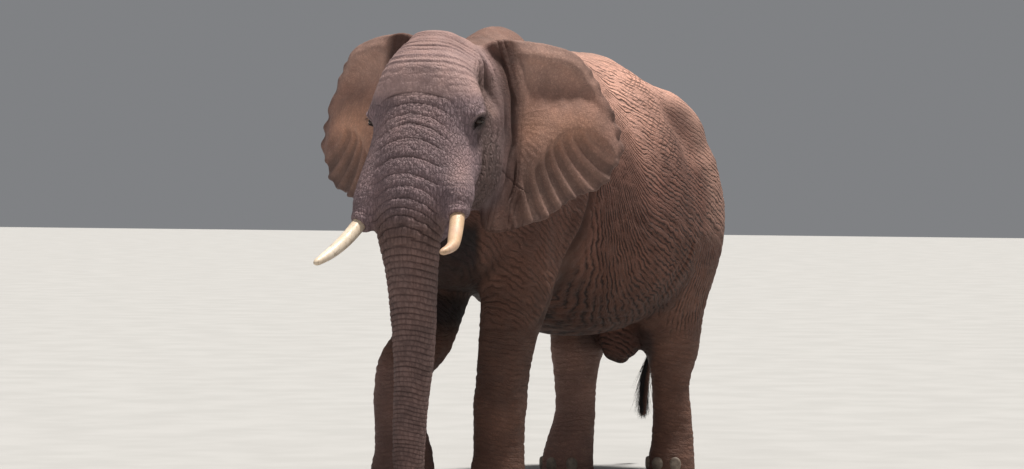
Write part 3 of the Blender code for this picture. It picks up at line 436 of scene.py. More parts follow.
def head_parts():
    P = []
    # cranium and back of the head
    P.append(head_ell(0, -0.26, 0.20, 0.36, 0.36, 0.385, 0.10))
    P.append(head_ell(0, -0.34, -0.05, 0.40, 0.36, 0.50, 0.12))
    # face shield: narrow at the crown, widest at the brows
    P.append(head_tube((
        (0, -0.22, 0.44, 0.19, 0.20),
        (0, -0.17, 0.37, 0.25, 0.25),
        (0, -0.12, 0.27, 0.32, 0.295),
        (0, -0.09, 0.13, 0.382, 0.30),
        (0, -0.07, 0.00, 0.368, 0.30),
        (0, -0.04, -0.14, 0.338, 0.29),
        (0, 0.04, -0.34, 0.33, 0.27),
        (0, 0.12, -0.50, 0.31, 0.24)), expo=2.8, k=0.06, cap=0.5))
    trunk = head_tube(TRUNK, k=0.09)
    P.append(trunk)
    for s in (1, -1):
        P.append(head_ell(0.335 * s, 0.015, 0.045, 0.065, 0.10, 0.06, 0.06))      # brow
        P.append(head_ell(0.25 * s, -0.20, -0.30, 0.165, 0.30, 0.28, 0.10))      # cheek
        low, out = (SHEATH_LOW_L, 0.05) if s > 0 else (SHEATH_LOW_R, -0.01)
        P.append(head_tube((
            (0.20 * s, 0.10, -0.22, 0.13, 0.14),
            (0.26 * s + out * 0.4, 0.22, -0.40, 0.12, 0.13),
            (0.28 * s + out, 0.31, low + 0.07, 0.108, 0.11),
            (0.285 * s + out, 0.35, low, 0.085, 0.085)), k=0.08))
        P.append(head_ell(0.425 * s, -0.20, 0.25, 0.135, 0.135, 0.20, 0.06, cut=True))  # temple hollow
    # the two fingers of the trunk's tip
    tip, T, X, Y = trunk.C[-1], trunk.T[-1], trunk.X[-1], trunk.Y[-1]
    for out, deep, wide, thick, reach in ((0.050, 0.026, 0.030, 0.017, 0.046), (0.040, -0.030, 0.036, 0.016, 0.034)):
        P.append(Ellipsoid(tip + T * out + Y * deep, (wide, reach, thick), 0.035, np.stack([X, T, Y], axis=1)))
    # lower jaw and lip
    P.append(head_tube((
        (0, -0.32, -0.42, 0.22, 0.20),
        (0, -0.08, -0.62, 0.19, 0.16),
        (0, 0.10, -0.76, 0.12, 0.11),
        (0, 0.19, -0.88, 0.06, 0.055)), k=0.07))
    return P


def tail_parts():
    return [Tube((
        (0.0, 2.22, 2.46, 0.12, 0.12),
        (0.0, 2.47, 2.28, 0.085, 0.085),
        (-0.01, 2.62, 2.06, 0.058, 0.058),
        (-0.07, 2.675, 1.60, 0.036, 0.032),
        (-0.14, 2.64, 1.15, 0.026, 0.022),
        (-0.19, 2.59, 0.85, 0.022, 0.018),
        (-0.215, 2.565, 0.72, 0.030, 0.022),
        (-0.235, 2.55, 0.55, 0.036, 0.022),
        (-0.245, 2.55, 0.37, 0.024, 0.018)), k=0.06, step=0.02)]


def field(P, parts, pad=0.12):
    out = np.full(len(P), 1.0)
    for p in parts:
        reach = pad + p.k
        m = np.nonzero(((P > p.lo - reach) & (P < p.hi + reach)).all(axis=1))[0]
        if not len(m):
            continue
        d = p(P[m])
        out[m] = smax(out[m], -d, p.k) if p.cut else smin(out[m], d, p.k)
    return out


def floor_cut(f, P, z=0.0):
    return smax(f, z - P[:, 2], 0.012)


def surface(parts, h, lo, hi, ground=True, coarse=8):
    """Sparse surface nets of the zero level: points and quads."""
    lo, hi = np.asarray(lo, float), np.asarray(hi, float)
    H_ = h * coarse
    n = np.ceil((hi - lo) / H_).astype(int)

    def value(P):
        f = field(P, parts)
        return floor_cut(f, P) if ground else f

    # coarse cell centres
    g = np.stack(np.meshgrid(*[np.arange(k) for k in n], indexing="ij"), axis=-1).reshape(-1, 3)
    c = lo + (g + 0.5) * H_
    near = np.abs(value_far(c, parts, ground)) < H_ * 0.87 * 1.6 + 0.02
    blocks = g[near]
    N = n * coarse + 1
    F = np.full(tuple(N), np.nan, np.float32)
    r = np.arange(coarse + 1)
    sub = np.stack(np.meshgrid(r, r, r, indexing="ij"), axis=-1).reshape(-1, 3)
    step = max(1, 600000 // len(sub))
    for a in range(0, len(blocks), step):
        ijk = (blocks[a:a + step, None, :] * coarse + sub[None]).reshape(-1, 3)
        f = value(lo + ijk * h)
        F[ijk[:, 0], ijk[:, 1], ijk[:, 2]] = f
    return nets(F, lo, h)


def value_far(P, parts, ground):
    f = field(P, parts, pad=0.6)
    return floor_cut(f, P) if ground else f


def nets(F, lo, h):
    known = ~np.isnan(F)
    S = np.where(known, F < 0, False)
    cell_ok = known[:-1, :-1, :-1].copy()
    cnt = np.zeros(cell_ok.shape, np.uint8)
    for dx in (0, 1):
        for dy in (0, 1):
            for dz in (0, 1):
                sl = (slice(dx, dx + cell_ok.shape[0]), slice(dy, dy + cell_ok.shape[1]), slice(dz, dz + cell_ok.shape[2]))
                cell_ok &= known[sl]
                cnt += S[sl]
    mixed = cell_ok & (cnt > 0) & (cnt < 8)
    cells = np.argwhere(mixed)
    vid = np.full(mixed.shape, -1, np.int32)
    vid[mixed] = np.arange(len(cells))
    pos = np.zeros((len(cells), 3))
    num = np.zeros(len(cells))
    corner = [(dx, dy, dz) for dx in (0, 1) for dy in (0, 1) for dz in (0, 1)]
    vals = {}
    for cdx in corner:
        vals[cdx] = F[cells[:, 0] + cdx[0], cells[:, 1] + cdx[1], cells[:, 2] + cdx[2]]
    for a in corner:
        for ax in range(3):
            if a[ax] == 1:
                continue
            b = list(a)
            b[ax] = 1
            b = tuple(b)
            fa, fb = vals[a], vals[b]
            cross = (fa < 0) != (fb < 0)
            t = np.where(cross, fa / np.where(cross, fa - fb, 1), 0)
            p = np.asarray(a, float)[None].repeat(len(cells), 0)
            p[:, ax] += t
            pos += p * cross[:, None]
            num += cross
    V = lo + (cells + pos / num[:, None]) * h
    quads = []
    for ax in range(3):
        sh = list(S.shape)
        s0 = [slice(None)] * 3
        s1 = [slice(None)] * 3
        s0[ax] = slice(0, sh[ax] - 1)
        s1[ax] = slice(1, sh[ax])
        A, B = S[tuple(s0)], S[tuple(s1)]
        e = np.argwhere((A != B) & known[tuple(s0)] & known[tuple(s1)])
        u, w = (ax + 1) % 3, (ax + 2) % 3
        e = e[(e[:, u] > 0) & (e[:, w] > 0)]
        e = e[(e[:, u] < mixed.shape[u]) & (e[:, w] < mixed.shape[w])]
        def at(du, dw):
            q = e.copy()
            q[:, u] += du
            q[:, w] += dw
            return vid[q[:, 0], q[:, 1], q[:, 2]]
        Q = np.stack([at(-1, -1), at(0, -1), at(0, 0), at(-1, 0)], axis=1)
        inside = A[e[:, 0], e[:, 1], e[:, 2]]
        Q = np.where(inside[:, None], Q, Q[:, ::-1])
        quads.append(Q[(Q >= 0).all(axis=1)])
    Q = np.concatenate(quads)
    return V, Q


def gradient(P, parts, ground=True, e=0.002):
    G = np.empty_like(P)
    for i in range(3):
        d = np.zeros(3)
        d[i] = e
        a, b = field(P + d, parts), field(P - d, parts)
        if ground:
            a, b = floor_cut(a, P + d), floor_cut(b, P - d)
        G[:, i] = (a - b) / (2 * e)
    return G


def settle(V, parts, ground=True, rounds=2, most=0.006):
    for _ in range(rounds):
        f = field(V, parts)
        if ground:
            f = floor_cut(f, V)
        G = gradient(V, parts, ground)
        g2 = (G * G).sum(axis=1)
        step = (f / np.maximum(g2, 0.05))[:, None] * G
        n = np.linalg.norm(step, axis=1, keepdims=True)
        V = V - step * np.minimum(1, most / np.maximum(n, 1e-9))
    return V


def all_parts(ears=True):
    P = body_parts() + head_parts()
    P += tail_parts()
    if ears:
        P += [EAR_L, EAR_R]
    return P


TUSK_OUT = 0.60
TUSK_HOOK = {1: 0.095, -1: 0.0}                 # the left tusk curls in at its tip
TUSK_ROOT = {1: (0.342, 0.33, SHEATH_LOW_L), -1: (-0.305, 0.33, SHEATH_LOW_R + 0.02)}


def tusk_at(s, run):
    """Centre, direction and radius of a tusk at a distance along it from the sheath's lip."""
    x0, f0, z0 = TUSK_ROOT[s]
    hook = TUSK_HOOK[s]

    def place(r):
        t = r / 0.60
        x = x0 + s * (0.115 * t + 0.03 * t * t) - s * hook * max(t - 0.66, 0) ** 2 * 7
        f = f0 + 0.42 * t + 0.08 * t * t
        z = z0 - 0.40 * t + (0.10 + 0.03 * (s > 0)) * t * t
        return H(x, f, z)
    d = unit(place(run + 0.005) - place(run - 0.005))
    t = max(run, 0) / TUSK_OUT
    r = 0.048 * (1 - 0.10 * t - 0.50 * t**4)
    if t > 0.92:
        r = 0.048 * (1 - 0.10 * 0.92 - 0.50 * 0.92**4) * math.sqrt(max(1 - ((t - 0.92) / 0.084) ** 2, 0.02))
    return place(run), d, r


def eye_centre(s):
    return H((EYE_HALF - 0.012) * s, 0.035, 0.0)


def nails_of():
    """(centre, outward direction, width, height) of each toe nail."""
    N = []
    for x, y, rx, ry, count, spread in (
        (0.262, FL_Y, 0.190, 0.214, 4, 62), (-0.285, FR_Y, 0.217, 0.244, 4, 62),
        (0.30, HL_Y, 0.160, 0.192, 3, 42), (-0.30, HR_Y, 0.176, 0.211, 3, 42),
    ):
        for i in range(count):
            a = math.radians(lerp(-spread, spread, i / (count - 1)))
            d = np.array([math.sin(a), -math.cos(a), 0.0])
            r = 1 / math.sqrt((d[0] / rx) ** 2 + (d[1] / ry) ** 2)
            N.append((np.array([x, y, 0.055]) + d * (r - 0.004), d, 0.046 if count == 4 else 0.044, 0.050))
    return N


def nail_parts():
    P = []
    for c, d, w, h in nails_of():
        A = np.stack([np.cross((0, 0, 1), d), d, np.array([0, 0, 1.0])], axis=1)
        P.append(Ellipsoid(c, (w, 0.022, h), 0.012, A))
    return P


EAR_L = Ear(1, math.radians(32), 1.03)
EAR_R = Ear(-1, math.radians(51), 1.07, 0.03)

import bpy
from mathutils import Vector

SHIFT = np.array((-0.0278, -0.3696, 0.0))      # body axes to the model's own frame
SKIN_STEP = 0.0125                             # size of the skin's faces before the head is refined


# ---------------------------------------------------------------- noise on a lattice
def dice(I, J, K, seed):
    """A fixed random number in 0..1 for each lattice point."""
    h = (I.astype(np.uint32) * np.uint32(0x9E3779B1)) ^ (J.astype(np.uint32) * np.uint32(0x85EBCA77)) ^ (K.astype(np.uint32) * np.uint32(0xC2B2AE3D))
    h ^= np.uint32((seed * 0x27D4EB2F + 0x165667B1) & 0xFFFFFFFF)
    h ^= h >> np.uint32(15)
    h *= np.uint32(0x2C1B3C6D)
    h ^= h >> np.uint32(12)
    h *= np.uint32(0x297A2D39)
    h ^= h >> np.uint32(15)
    return h.astype(np.float32) * np.float32(1 / 4294967296)


def noise(P, size, seed=0):
    """Smooth noise in -1..1; size is the feature size in metres, one number or one for each axis."""
    X = (np.asarray(P) / np.asarray(size, float)).astype(np.float32)
    I = np.floor(X).astype(np.int32)
    T = X - I
    T = T * T * (3 - 2 * T)
    out = np.zeros(len(X), np.float32)
    for a in (0, 1):
        for b in (0, 1):
            for c in (0, 1):
                w = (T[:, 0] if a else 1 - T[:, 0]) * (T[:, 1] if b else 1 - T[:, 1]) * (T[:, 2] if c else 1 - T[:, 2])
                out += w * dice(I[:, 0] + a, I[:, 1] + b, I[:, 2] + c, seed)
    return out * 2 - 1


def clouds(P, size, seed=0, octaves=3):
    out, amp, total = 0.0, 1.0, 0.0
    for i in range(octaves):
        out = out + amp * noise(P, np.asarray(size, float) / 2**i, seed + i * 7)
        total += amp
        amp *= 0.5
    return out / total


def cracks(P, size, seed=0, jitter=0.85):
    """Distance to the border between cells, in cell units: 0 on a crease, about 0.5 inside."""
    X = (np.asarray(P) / np.asarray(size, float)).astype(np.float32)
    I = np.floor(X).astype(np.int32)
    f1 = np.full(len(X), 9.0, np.float32)
    f2 = f1.copy()
    for a in (-1, 0, 1):
        for b in (-1, 0, 1):
            for c in (-1, 0, 1):
                i, j, k = I[:, 0] + a, I[:, 1] + b, I[:, 2] + c
                dx = i + 0.5 + jitter * (dice(i, j, k, seed) - 0.5) - X[:, 0]
                dy = j + 0.5 + jitter * (dice(i, j, k, seed + 1) - 0.5) - X[:, 1]
                dz = k + 0.5 + jitter * (dice(i, j, k, seed + 2) - 0.5) - X[:, 2]
                d = dx * dx + dy * dy + dz * dz
                near = d < f1
                f2 = np.where(near, f1, np.minimum(f2, d))
                f1 = np.where(near, d, f1)
    return np.sqrt(f2) - np.sqrt(f1)


# ---------------------------------------------------------------- mesh of the skin
def refine(V, quads, ngons, pick):
    """The picked quads are split in four; their neighbours gain the points on shared edges."""
    n = len(V)
    S = quads[pick]
    T = np.roll(S, -1, axis=1)
    key = np.minimum(S, T).astype(np.int64) * n + np.maximum(S, T)
    edges, inv = np.unique(key, return_inverse=True)
    inv = inv.reshape(key.shape)
    M = n + inv
    C = n + len(edges) + np.arange(len(S))
    new = np.stack([np.stack([S[:, k], M[:, k], C, M[:, (k + 3) % 4]], axis=1) for k in range(4)], axis=1).reshape(-1, 4)
    V2 = np.concatenate([V, (V[edges // n] + V[edges % n]) / 2, V[S].mean(axis=1)])
    rest = quads[~pick]
    T = np.roll(rest, -1, axis=1)
    key = np.minimum(rest, T).astype(np.int64) * n + np.maximum(rest, T)
    pos = np.clip(np.searchsorted(edges, key), 0, len(edges) - 1)
    hit = edges[pos] == key
    touched = hit.any(axis=1)
    for r, h, p in zip(rest[touched], hit[touched], pos[touched]):
        poly = []
        for k in range(4):
            poly.append(int(r[k]))
            if h[k]:
                poly.append(int(n + p[k]))
        ngons.append(poly)
    return V2, np.concatenate([rest[~touched], new]), ngons


def normals(V, Q, ngons=()):
    A, B = V[Q[:, 2]] - V[Q[:, 0]], V[Q[:, 3]] - V[Q[:, 1]]
    F = np.cross(A, B)
    N = np.zeros_like(V)
    for k in range(4):
        for c in range(3):
            N[:, c] += np.bincount(Q[:, k], F[:, c], len(V))
    for poly in ngons:
        p = V[poly]
        f = np.zeros(3)
        for i in range(len(poly)):
            f += np.cross(p[i], p[(i + 1) % len(poly)])
        N[poly] += f
    return N / np.maximum(np.linalg.norm(N, axis=1, keepdims=True), 1e-12)


PARTS = all_parts()
V, Q = surface(PARTS, SKIN_STEP, (-1.2, -1.8, -0.08), (1.2, 2.9, 3.3))
ngons = []


def on_ear(P, ear, reach=0.05):
    u, v, w = ear.uvw(P)
    o, th, rho, r = ear.outline(u, v)
    return (np.abs(w - ear.bend(u, v, th, rho, r)) < reach) & (o < 0.04) & (u > -0.06)


def near(P, c, r):
    return ((P - c) ** 2).sum(axis=1) < r * r


EYES = {s: eye_centre(s) for s in (1, -1)}
SHEATH = {s: tusk_at(s, 0.0) for s in (1, -1)}
TIP = H(*TRUNK[-1][:3])

C = V[Q].mean(axis=1)
hx, hf, hz = to_head(C)
pick = (np.abs(hx) < 0.52) & (hf > -0.45)
for ear in (EAR_L, EAR_R):
    pick |= on_ear(C, ear)
V, Q, ngons = refine(V, Q, ngons, pick)
C = V[Q].mean(axis=1)
pick = near(C, TIP, 0.13)
for s in (1, -1):
    pick |= near(C, EYES[s], 0.105)
    pick |= near(C, SHEATH[s][0], 0.11)
V, Q, ngons = refine(V, Q, ngons, pick)
C = V[Q].mean(axis=1)
pick = near(C, EYES[1], 0.052) | near(C, EYES[-1], 0.052)
V, Q, ngons = refine(V, Q, ngons, pick)

# every point moved onto the true surface along its normal
for _ in range(2):
    N = normals(V, Q, ngons)
    f = floor_cut(field(V, PARTS), V)
    V = V - N * np.clip(f, -0.004, 0.004)[:, None]
N = normals(V, Q, ngons)
SMOOTH = V.copy()

# ---------------------------------------------------------------- regions of the skin
BODY, HEAD = body_parts(), head_parts()
TRUNK_TUBE = HEAD[3]
GROUPS = {
    "torso": BODY[:-5], "leg0": [BODY[-5]], "leg1": [BODY[-4]], "leg2": [BODY[-3]], "leg3": [BODY[-2]],
    "neck": [BODY[-1]], "head": HEAD[:3] + [p for p in HEAD[4:] if not p.cut], "trunk": [TRUNK_TUBE],
    "ear": [EAR_L, EAR_R], "tail": tail_parts(),
}


def closeness(P, parts, pad=0.25):
    out = np.full(len(P), 0.5)
    for p in parts:
        m = np.nonzero(((P > p.lo - pad) & (P < p.hi + pad)).all(axis=1))[0]
        if len(m):
            out[m] = np.minimum(out[m], p(P[m]))
    return out


share = {k: np.exp(-np.clip(closeness(V, g), -0.05, 0.5) / 0.025) for k, g in GROUPS.items()}
total = sum(share.values())
share = {k: (w / total).astype(np.float32) for k, w in share.items()}
x, y, z = V.T
hx, hf, hz = to_head(V)
ax = np.abs(hx)
D = np.zeros(len(V))               # how far each point moves out along its normal
crease_shade = np.zeros(len(V))          # 0 to 1, depth inside a crease: painted shade that darkens the colour there


def where(w, least=0.02):
    return np.nonzero(w > least)[0]


def valley(c, width):
    return 1 - smoothstep(0.0, width, c)


# carve_in lowers the surface and paints shade into the crease's colour, as strong as amount times dark
def carve_in(i, depth, amount, dark=1.0):
    D[i] -= depth * amount
    crease_shade[i] = np.maximum(crease_shade[i], np.clip(amount, 0, 1) * dark)


def folds(phase):
    """Rolls with sharp creases between them: 0 on a roll's top, 1 in the crease."""
    return 1 - np.sqrt(np.abs(np.sin(math.pi * phase)))


def broad(phase):
    """Soft rolls with rounded valleys: 1 in a valley."""
    return (0.5 + 0.5 * np.cos(2 * math.pi * phase)) ** 2


# soft unevenness of flesh everywhere
D += 0.0045 * clouds(V, 0.30, 1, 2) + 0.0022 * clouds(V, 0.10, 5, 2) * (1 - share["ear"])

def track(a, b, pts):
    """Signed distance from a line through (a, b) points, and how far along it the nearest place is, 0 to 1."""
    pts = np.asarray(pts, float)
    seg = np.hypot(*np.diff(pts, axis=0).T)
    best, out, at, done = np.full(len(a), 1e9), np.zeros(len(a)), np.zeros(len(a)), 0.0
    for p, q, L in zip(pts[:-1], pts[1:], seg):
        d = (q - p) / L
        ra, rb = a - p[0], b - p[1]
        t = np.clip(ra * d[0] + rb * d[1], 0, L)
        da, db = ra - t * d[0], rb - t * d[1]
        r = np.hypot(da, db)
        m = r < best
        best[m] = r[m]
        out[m] = (np.sign(d[0] * db - d[1] * da) * r)[m]
        at[m] = (done + t[m]) / seg.sum()
        done += L
    return out, at


# fields whose level lines the body's wrinkles follow: upright behind the elbow, slanting down to the
# rear over the flank, crossed on the rump, upright on the thigh, slanting on the upper arm
KY = np.linspace(-1.0, 3.0, 400)
KG = np.cumsum(0.41 * smoothstep(0.55, 1.15, KY)) * (KY[1] - KY[0])
side_x = np.abs(x)
sweep_ = lerp(0.15, 0.92, smoothstep(0.40, 1.10, y))
PSI = sweep_ * (z - 0.9) + np.interp(y, KY, KG) + 0.012 * clouds(V, 0.45, 11, 2)
CHI = (z - 0.68 * y + 0.5 * side_x * smoothstep(2.6, 2.9, z)) / 1.21 + 0.012 * clouds(V, 0.4, 13, 2)
ARM = ((0.50, 2.12), (0.475, 1.95), (0.42, 1.74), (0.34, 1.56), (0.255, 1.40), (0.17, 1.26), (0.08, 1.09))
arm_d, arm_t = track(y, z, ARM)
# arm_d is positive behind the arm
GROIN = ((1.72, 1.75), (1.68, 1.55), (1.55, 1.38), (1.50, 1.22), (1.50, 1.05))
groin_d, groin_t = track(y, z, GROIN)
# groin_d is positive towards the thigh

# torso: long slanting wrinkles down and back, crossed over the rump, upright behind the elbow
SLANT = math.radians(24)
flank_a = y * math.cos(SLANT) - z * math.sin(SLANT)
flank_b = y * math.sin(SLANT) + z * math.cos(SLANT)
torso = share["torso"] + 0.6 * share["leg2"] * smoothstep(1.3, 1.7, z) + 0.6 * share["leg3"] * smoothstep(1.3, 1.7, z)
torso = np.clip(torso, 0, 1)
flank = smoothstep(0.45, 0.85, y) * torso
i = where(flank)
broken = 0.45 + 0.55 * smoothstep(-0.5, 0.5, clouds(V[i], 0.30, 12, 2))
ph = PSI[i] / 0.085
calm = 1 - 0.75 * np.exp(-(((y[i] - 1.90) / 0.34) ** 2 + ((z[i] - 2.52) / 0.27) ** 2))
carve_in(i, 0.0085, folds(ph) * flank[i] * broken * calm, 0.45)
c = cracks(np.stack([flank_a[i], flank_b[i] + 0.03 * clouds(V[i], 0.35, 11, 2), x[i]], axis=1), (0.34, 0.075, 0.30), 21)
carve_in(i, 0.0022, valley(c, 0.42) * flank[i], 0.20)
cross = flank * smoothstep(0.9, 1.4, y) * smoothstep(1.8, 2.2, z) * (1 - 0.9 * np.exp(-(((y - 1.90) / 0.34) ** 2 + ((z - 2.52) / 0.27) ** 2)))
i = where(cross)
carve_in(i, 0.0042, folds(CHI[i] / 0.095) * cross[i] * (0.5 + 0.5 * noise(V[i], 0.25, 26)), 0.25)
shoulder = np.clip(share["torso"] + share["leg0"] + share["leg1"] + share["neck"], 0, 1) * smoothstep(0.75, 0.40, y) * smoothstep(1.05, 1.45, z)
i = where(shoulder)
lean = math.radians(62)
sa, sb = y * math.cos(lean) - z * math.sin(lean), y * math.sin(lean) + z * math.cos(lean)
c = cracks(np.stack([sa[i], sb[i] + 0.03 * clouds(V[i], 0.3, 14, 2), x[i]], axis=1), (0.36, 0.065, 0.26), 31)
carve_in(i, 0.0030, valley(c, 0.42) * shoulder[i], 0.35)
# the arm stands proud of the ribs along its rear edge, with deep upright folds behind it
trunk_side = (share["torso"] + share["leg0"] + share["leg1"]) * smoothstep(0.22, 0.34, side_x)
g = trunk_side * smoothstep(0.0, 0.14, arm_t) * smoothstep(1.0, 0.90, arm_t)
i = where(g)
rim = np.where(arm_d[i] > 0, np.exp(-((arm_d[i] / 0.055) ** 2)), np.exp(-((arm_d[i] / 0.016) ** 2)))
carve_in(i, 0.026, rim * g[i], 0.75)
D[i] += 0.011 * np.exp(-(((arm_d[i] + 0.055) / 0.045) ** 2)) * g[i]
fold = trunk_side * smoothstep(0.0, 0.04, arm_d) * smoothstep(0.34, 0.12, arm_d) * smoothstep(1.15, 1.45, z) * smoothstep(2.7, 2.3, z)
i = where(fold)
ph = (arm_d[i] * 0.75 + 0.018 * clouds(V[i], 0.20, 16, 2)) / 0.052
carve_in(i, 0.013, folds(ph) * fold[i] * (0.6 + 0.4 * noise(V[i], (0.3, 0.3, 0.5), 17)), 0.8)
fold = share["neck"] * smoothstep(2.9, 2.5, z)
i = where(fold)
ph = (y[i] + 0.30 * (z[i] - 2.0) + 0.03 * clouds(V[i], 0.25, 18, 2)) / 0.075
carve_in(i, 0.010, folds(ph) * fold[i], 0.8)
# the crease between belly and thigh, with slack skin before it
g = smoothstep(0.16, 0.28, side_x) * smoothstep(0.0, 0.22, groin_t) * smoothstep(1.0, 0.92, groin_t) * (share["torso"] + share["leg2"] + share["leg3"])
i = where(g)
rim = np.where(groin_d[i] < 0, np.exp(-((groin_d[i] / 0.045) ** 2)), np.exp(-((groin_d[i] / 0.016) ** 2)))
carve_in(i, 0.012, rim * g[i] * (0.6 + 0.4 * noise(V[i], 0.22, 27)), 0.55)
slack = g * smoothstep(-0.26, -0.08, groin_d) * smoothstep(0.02, -0.03, groin_d)
i = where(slack)
carve_in(i, 0.006, folds((groin_d[i] * 0.8 + 0.015 * clouds(V[i], 0.2, 19, 2)) / 0.060) * slack[i], 0.6)
# the far side of the rump: upright slack folds round the pelvis
g = share["torso"] * smoothstep(2.16, 2.30, y) * smoothstep(1.2, 1.5, z) * smoothstep(2.55, 2.3, z)
i = where(g)
carve_in(i, 0.006, folds((side_x[i] + 0.30 * y[i] + 0.012 * clouds(V[i], 0.2, 20, 2)) / 0.062) * g[i], 0.4)
# belly: folds along its lower edge
g = share["torso"] * smoothstep(1.40, 1.15, z) * smoothstep(0.5, 0.8, y) * smoothstep(1.75, 1.5, y)
i = where(g)
carve_in(i, 0.0065, folds((z[i] - 0.02 * np.cos(2.2 * (y[i] - 1.1)) + 0.010 * clouds(V[i], 0.25, 23, 2)) / 0.050) * g[i], 0.45)
# sheath hanging under the belly: puckered lengthwise
q = V - np.array((0.03, 1.82, 0.965))
g = smoothstep(0.34, 0.24, np.sqrt((q * q).sum(axis=1))) * smoothstep(1.08, 0.98, z) * share["torso"]
i = where(g)
turn = np.arctan2(q[i, 2], q[i, 0])
carve_in(i, 0.012, folds(turn / 0.42 + 0.25 * clouds(V[i], 0.12, 24, 2)) * g[i], 0.6)
# a faint run of the backbone
spine = share["torso"] * np.exp(-((x / 0.07) ** 2)) * smoothstep(0.7, 1.0, y) * smoothstep(2.2, 1.9, y) * (z > 2.4)
D += 0.006 * spine * (0.6 + 0.4 * np.cos(2 * math.pi * y / 0.105))

# legs: cross creases, closer rings at the wrists, hocks and ankles
for k in range(4):
    w = share["leg%d" % k] * smoothstep(1.75, 1.35, z)
    i = where(w)
    p = V[i]
    c = cracks(p + 0.02 * clouds(p, 0.2, 41 + k, 2)[:, None], (0.18, 0.18, 0.060), 43 + k)
    carve_in(i, 0.0040, valley(c, 0.45) * w[i], 0.40)
    if k < 2:
        bands = ((0.76, 0.15, 0.046, 0.0085), (0.27, 0.075, 0.036, 0.0065), (1.12, 0.12, 0.06, 0.007))
    else:
        bands = ((0.60, 0.12, 0.046, 0.0070), (0.25, 0.075, 0.036, 0.0065), (0.92, 0.12, 0.055, 0.006))
    for mid, half, gap, deep in bands:
        g = np.exp(-(((p[:, 2] - mid) / half) ** 2)) * w[i]
        ph = (p[:, 2] + 0.012 * clouds(p, 0.13, 51 + k, 2) + 0.02 * noise(p, 0.4, 55)) / gap
        carve_in(i, deep, folds(ph) * g * (0.55 + 0.45 * noise(p, (0.15, 0.15, 0.05), 57)), 0.8)
# the edge of the sole
sole = (share["leg0"] + share["leg1"] + share["leg2"] + share["leg3"]) * smoothstep(0.10, 0.02, z)
D -= 0.004 * sole * np.exp(-(((z - 0.032) / 0.008) ** 2))

# tail: rings
i = where(share["tail"])
carve_in(i, 0.0025, folds((z[i] + 0.004 * noise(V[i], 0.05, 61)) / 0.030) * share["tail"][i], 0.6)

# ---------------------------------------------------------------- head
hm = where(share["head"] + share["trunk"], 0.02)
ph_along, ph_u, ph_v, ph_past, ph_r = TRUNK_TUBE.locate(V[hm])
run = np.zeros(len(V))
lat = np.zeros(len(V))
run[hm], lat[hm] = ph_along + ph_past, ph_u
front = np.zeros(len(V))
front[hm] = smoothstep(-0.06, 0.05, ph_v)
head_skin = share["head"] + share["trunk"]
DEPTH = np.zeros(len(V))
DEPTH[hm] = np.interp(run[hm], TRUNK_TUBE.s, TRUNK_TUBE.R[:, 1])
i = hm
# rings stand highest in front and sink towards the sides
mid = i[(np.abs(hx[i]) < 0.04) & (front[i] > 0.9) & (hz[i] > -0.75) & (hz[i] < 0.25)]
order = mid[np.argsort(hz[mid])]
GROOVES = (0.190, 0.117, 0.046, -0.020, -0.110, -0.227, -0.337, -0.415, -0.493, -0.555, -0.607)
at_groove = np.interp(GROOVES, hz[order], run[order])
TB = np.linspace(-0.5, 2.9, 1800)
below = at_groove[-1]
GAPS = ((0.0, 0.050), (0.10, 0.045), (0.45, 0.042), (0.62, 0.036), (0.95, 0.033), (1.20, 0.028), (1.6, 0.025), (2.1, 0.023))
density = 1 / np.interp(TB - below, [g[0] for g in GAPS], [g[1] for g in GAPS])
TP = np.where(TB < below, np.interp(TB, at_groove, np.arange(len(GROOVES))) + np.minimum(TB - at_groove[0], 0) / 0.070, 0)
TP = TP + (TB >= below) * (len(GROOVES) - 1 + np.cumsum(density * (TB >= below)) * (TB[1] - TB[0]))
on_trunk = smoothstep(below - 0.05, below + 0.15, run[i])
b = run[i] - lerp(0.62 * np.minimum(np.abs(lat[i]), 0.30) ** 2, 0.9 * np.minimum(np.abs(lat[i]), 0.2) ** 2, on_trunk) - lerp(0.30, 0.16, on_trunk) * np.clip(DEPTH[i] - ph_v, 0, 0.3)
b = b + 0.007 * clouds(V[i], 0.20, 71, 2) + 0.004 * noise(V[i], 0.06, 73)
phase = np.interp(b, TB, TP) + 0.07 * noise(V[i], (0.4, 0.4, 0.3), 74)
wide = lerp(smoothstep(0.285, 0.19, np.abs(lat[i])), 1.0, on_trunk)
ring_w = wide * lerp(front[i], 0.45 + 0.55 * front[i], on_trunk) * smoothstep(at_groove[0] - 0.10, at_groove[0], b) * head_skin[i]
each = 0.80 + 0.20 * noise(np.stack([np.round(phase) * 3.1, lat[i] * 6, phase * 0], axis=1), 1.0, 75)
deep = np.interp(run[i], (0.0, 0.2, 0.6, 0.9, 1.6, 2.4), (0.0045, 0.0085, 0.0105, 0.0105, 0.0080, 0.0055))
off = phase - np.round(phase)
# each roll hangs a little over the groove below it
roll = 1 - np.abs(np.sin(math.pi * (off + 0.05 * np.sin(2 * math.pi * off)))) ** 0.62
carve_in(i, 1.0, deep * roll * ring_w * each, 0.0)
# painted shade in each ring's groove
crease_shade[i] = np.maximum(crease_shade[i], np.exp(-((off / 0.13) ** 2)) * ring_w * each)
ring_phase, ring_share = np.zeros(len(V)), np.zeros(len(V))
ring_phase[i], ring_share[i] = phase, ring_w * each
# short upright wrinkles between the rings
c = cracks(np.stack([hx[i] + 0.006 * noise(V[i], 0.05, 77), hf[i], b], axis=1), (0.030, 0.030, 0.085), 78)
up = head_skin[i] * smoothstep(-0.15, 0.05, b) * (0.4 + 0.6 * wide)
carve_in(i, 0.0038, valley(c, 0.42) * up, 0.6)
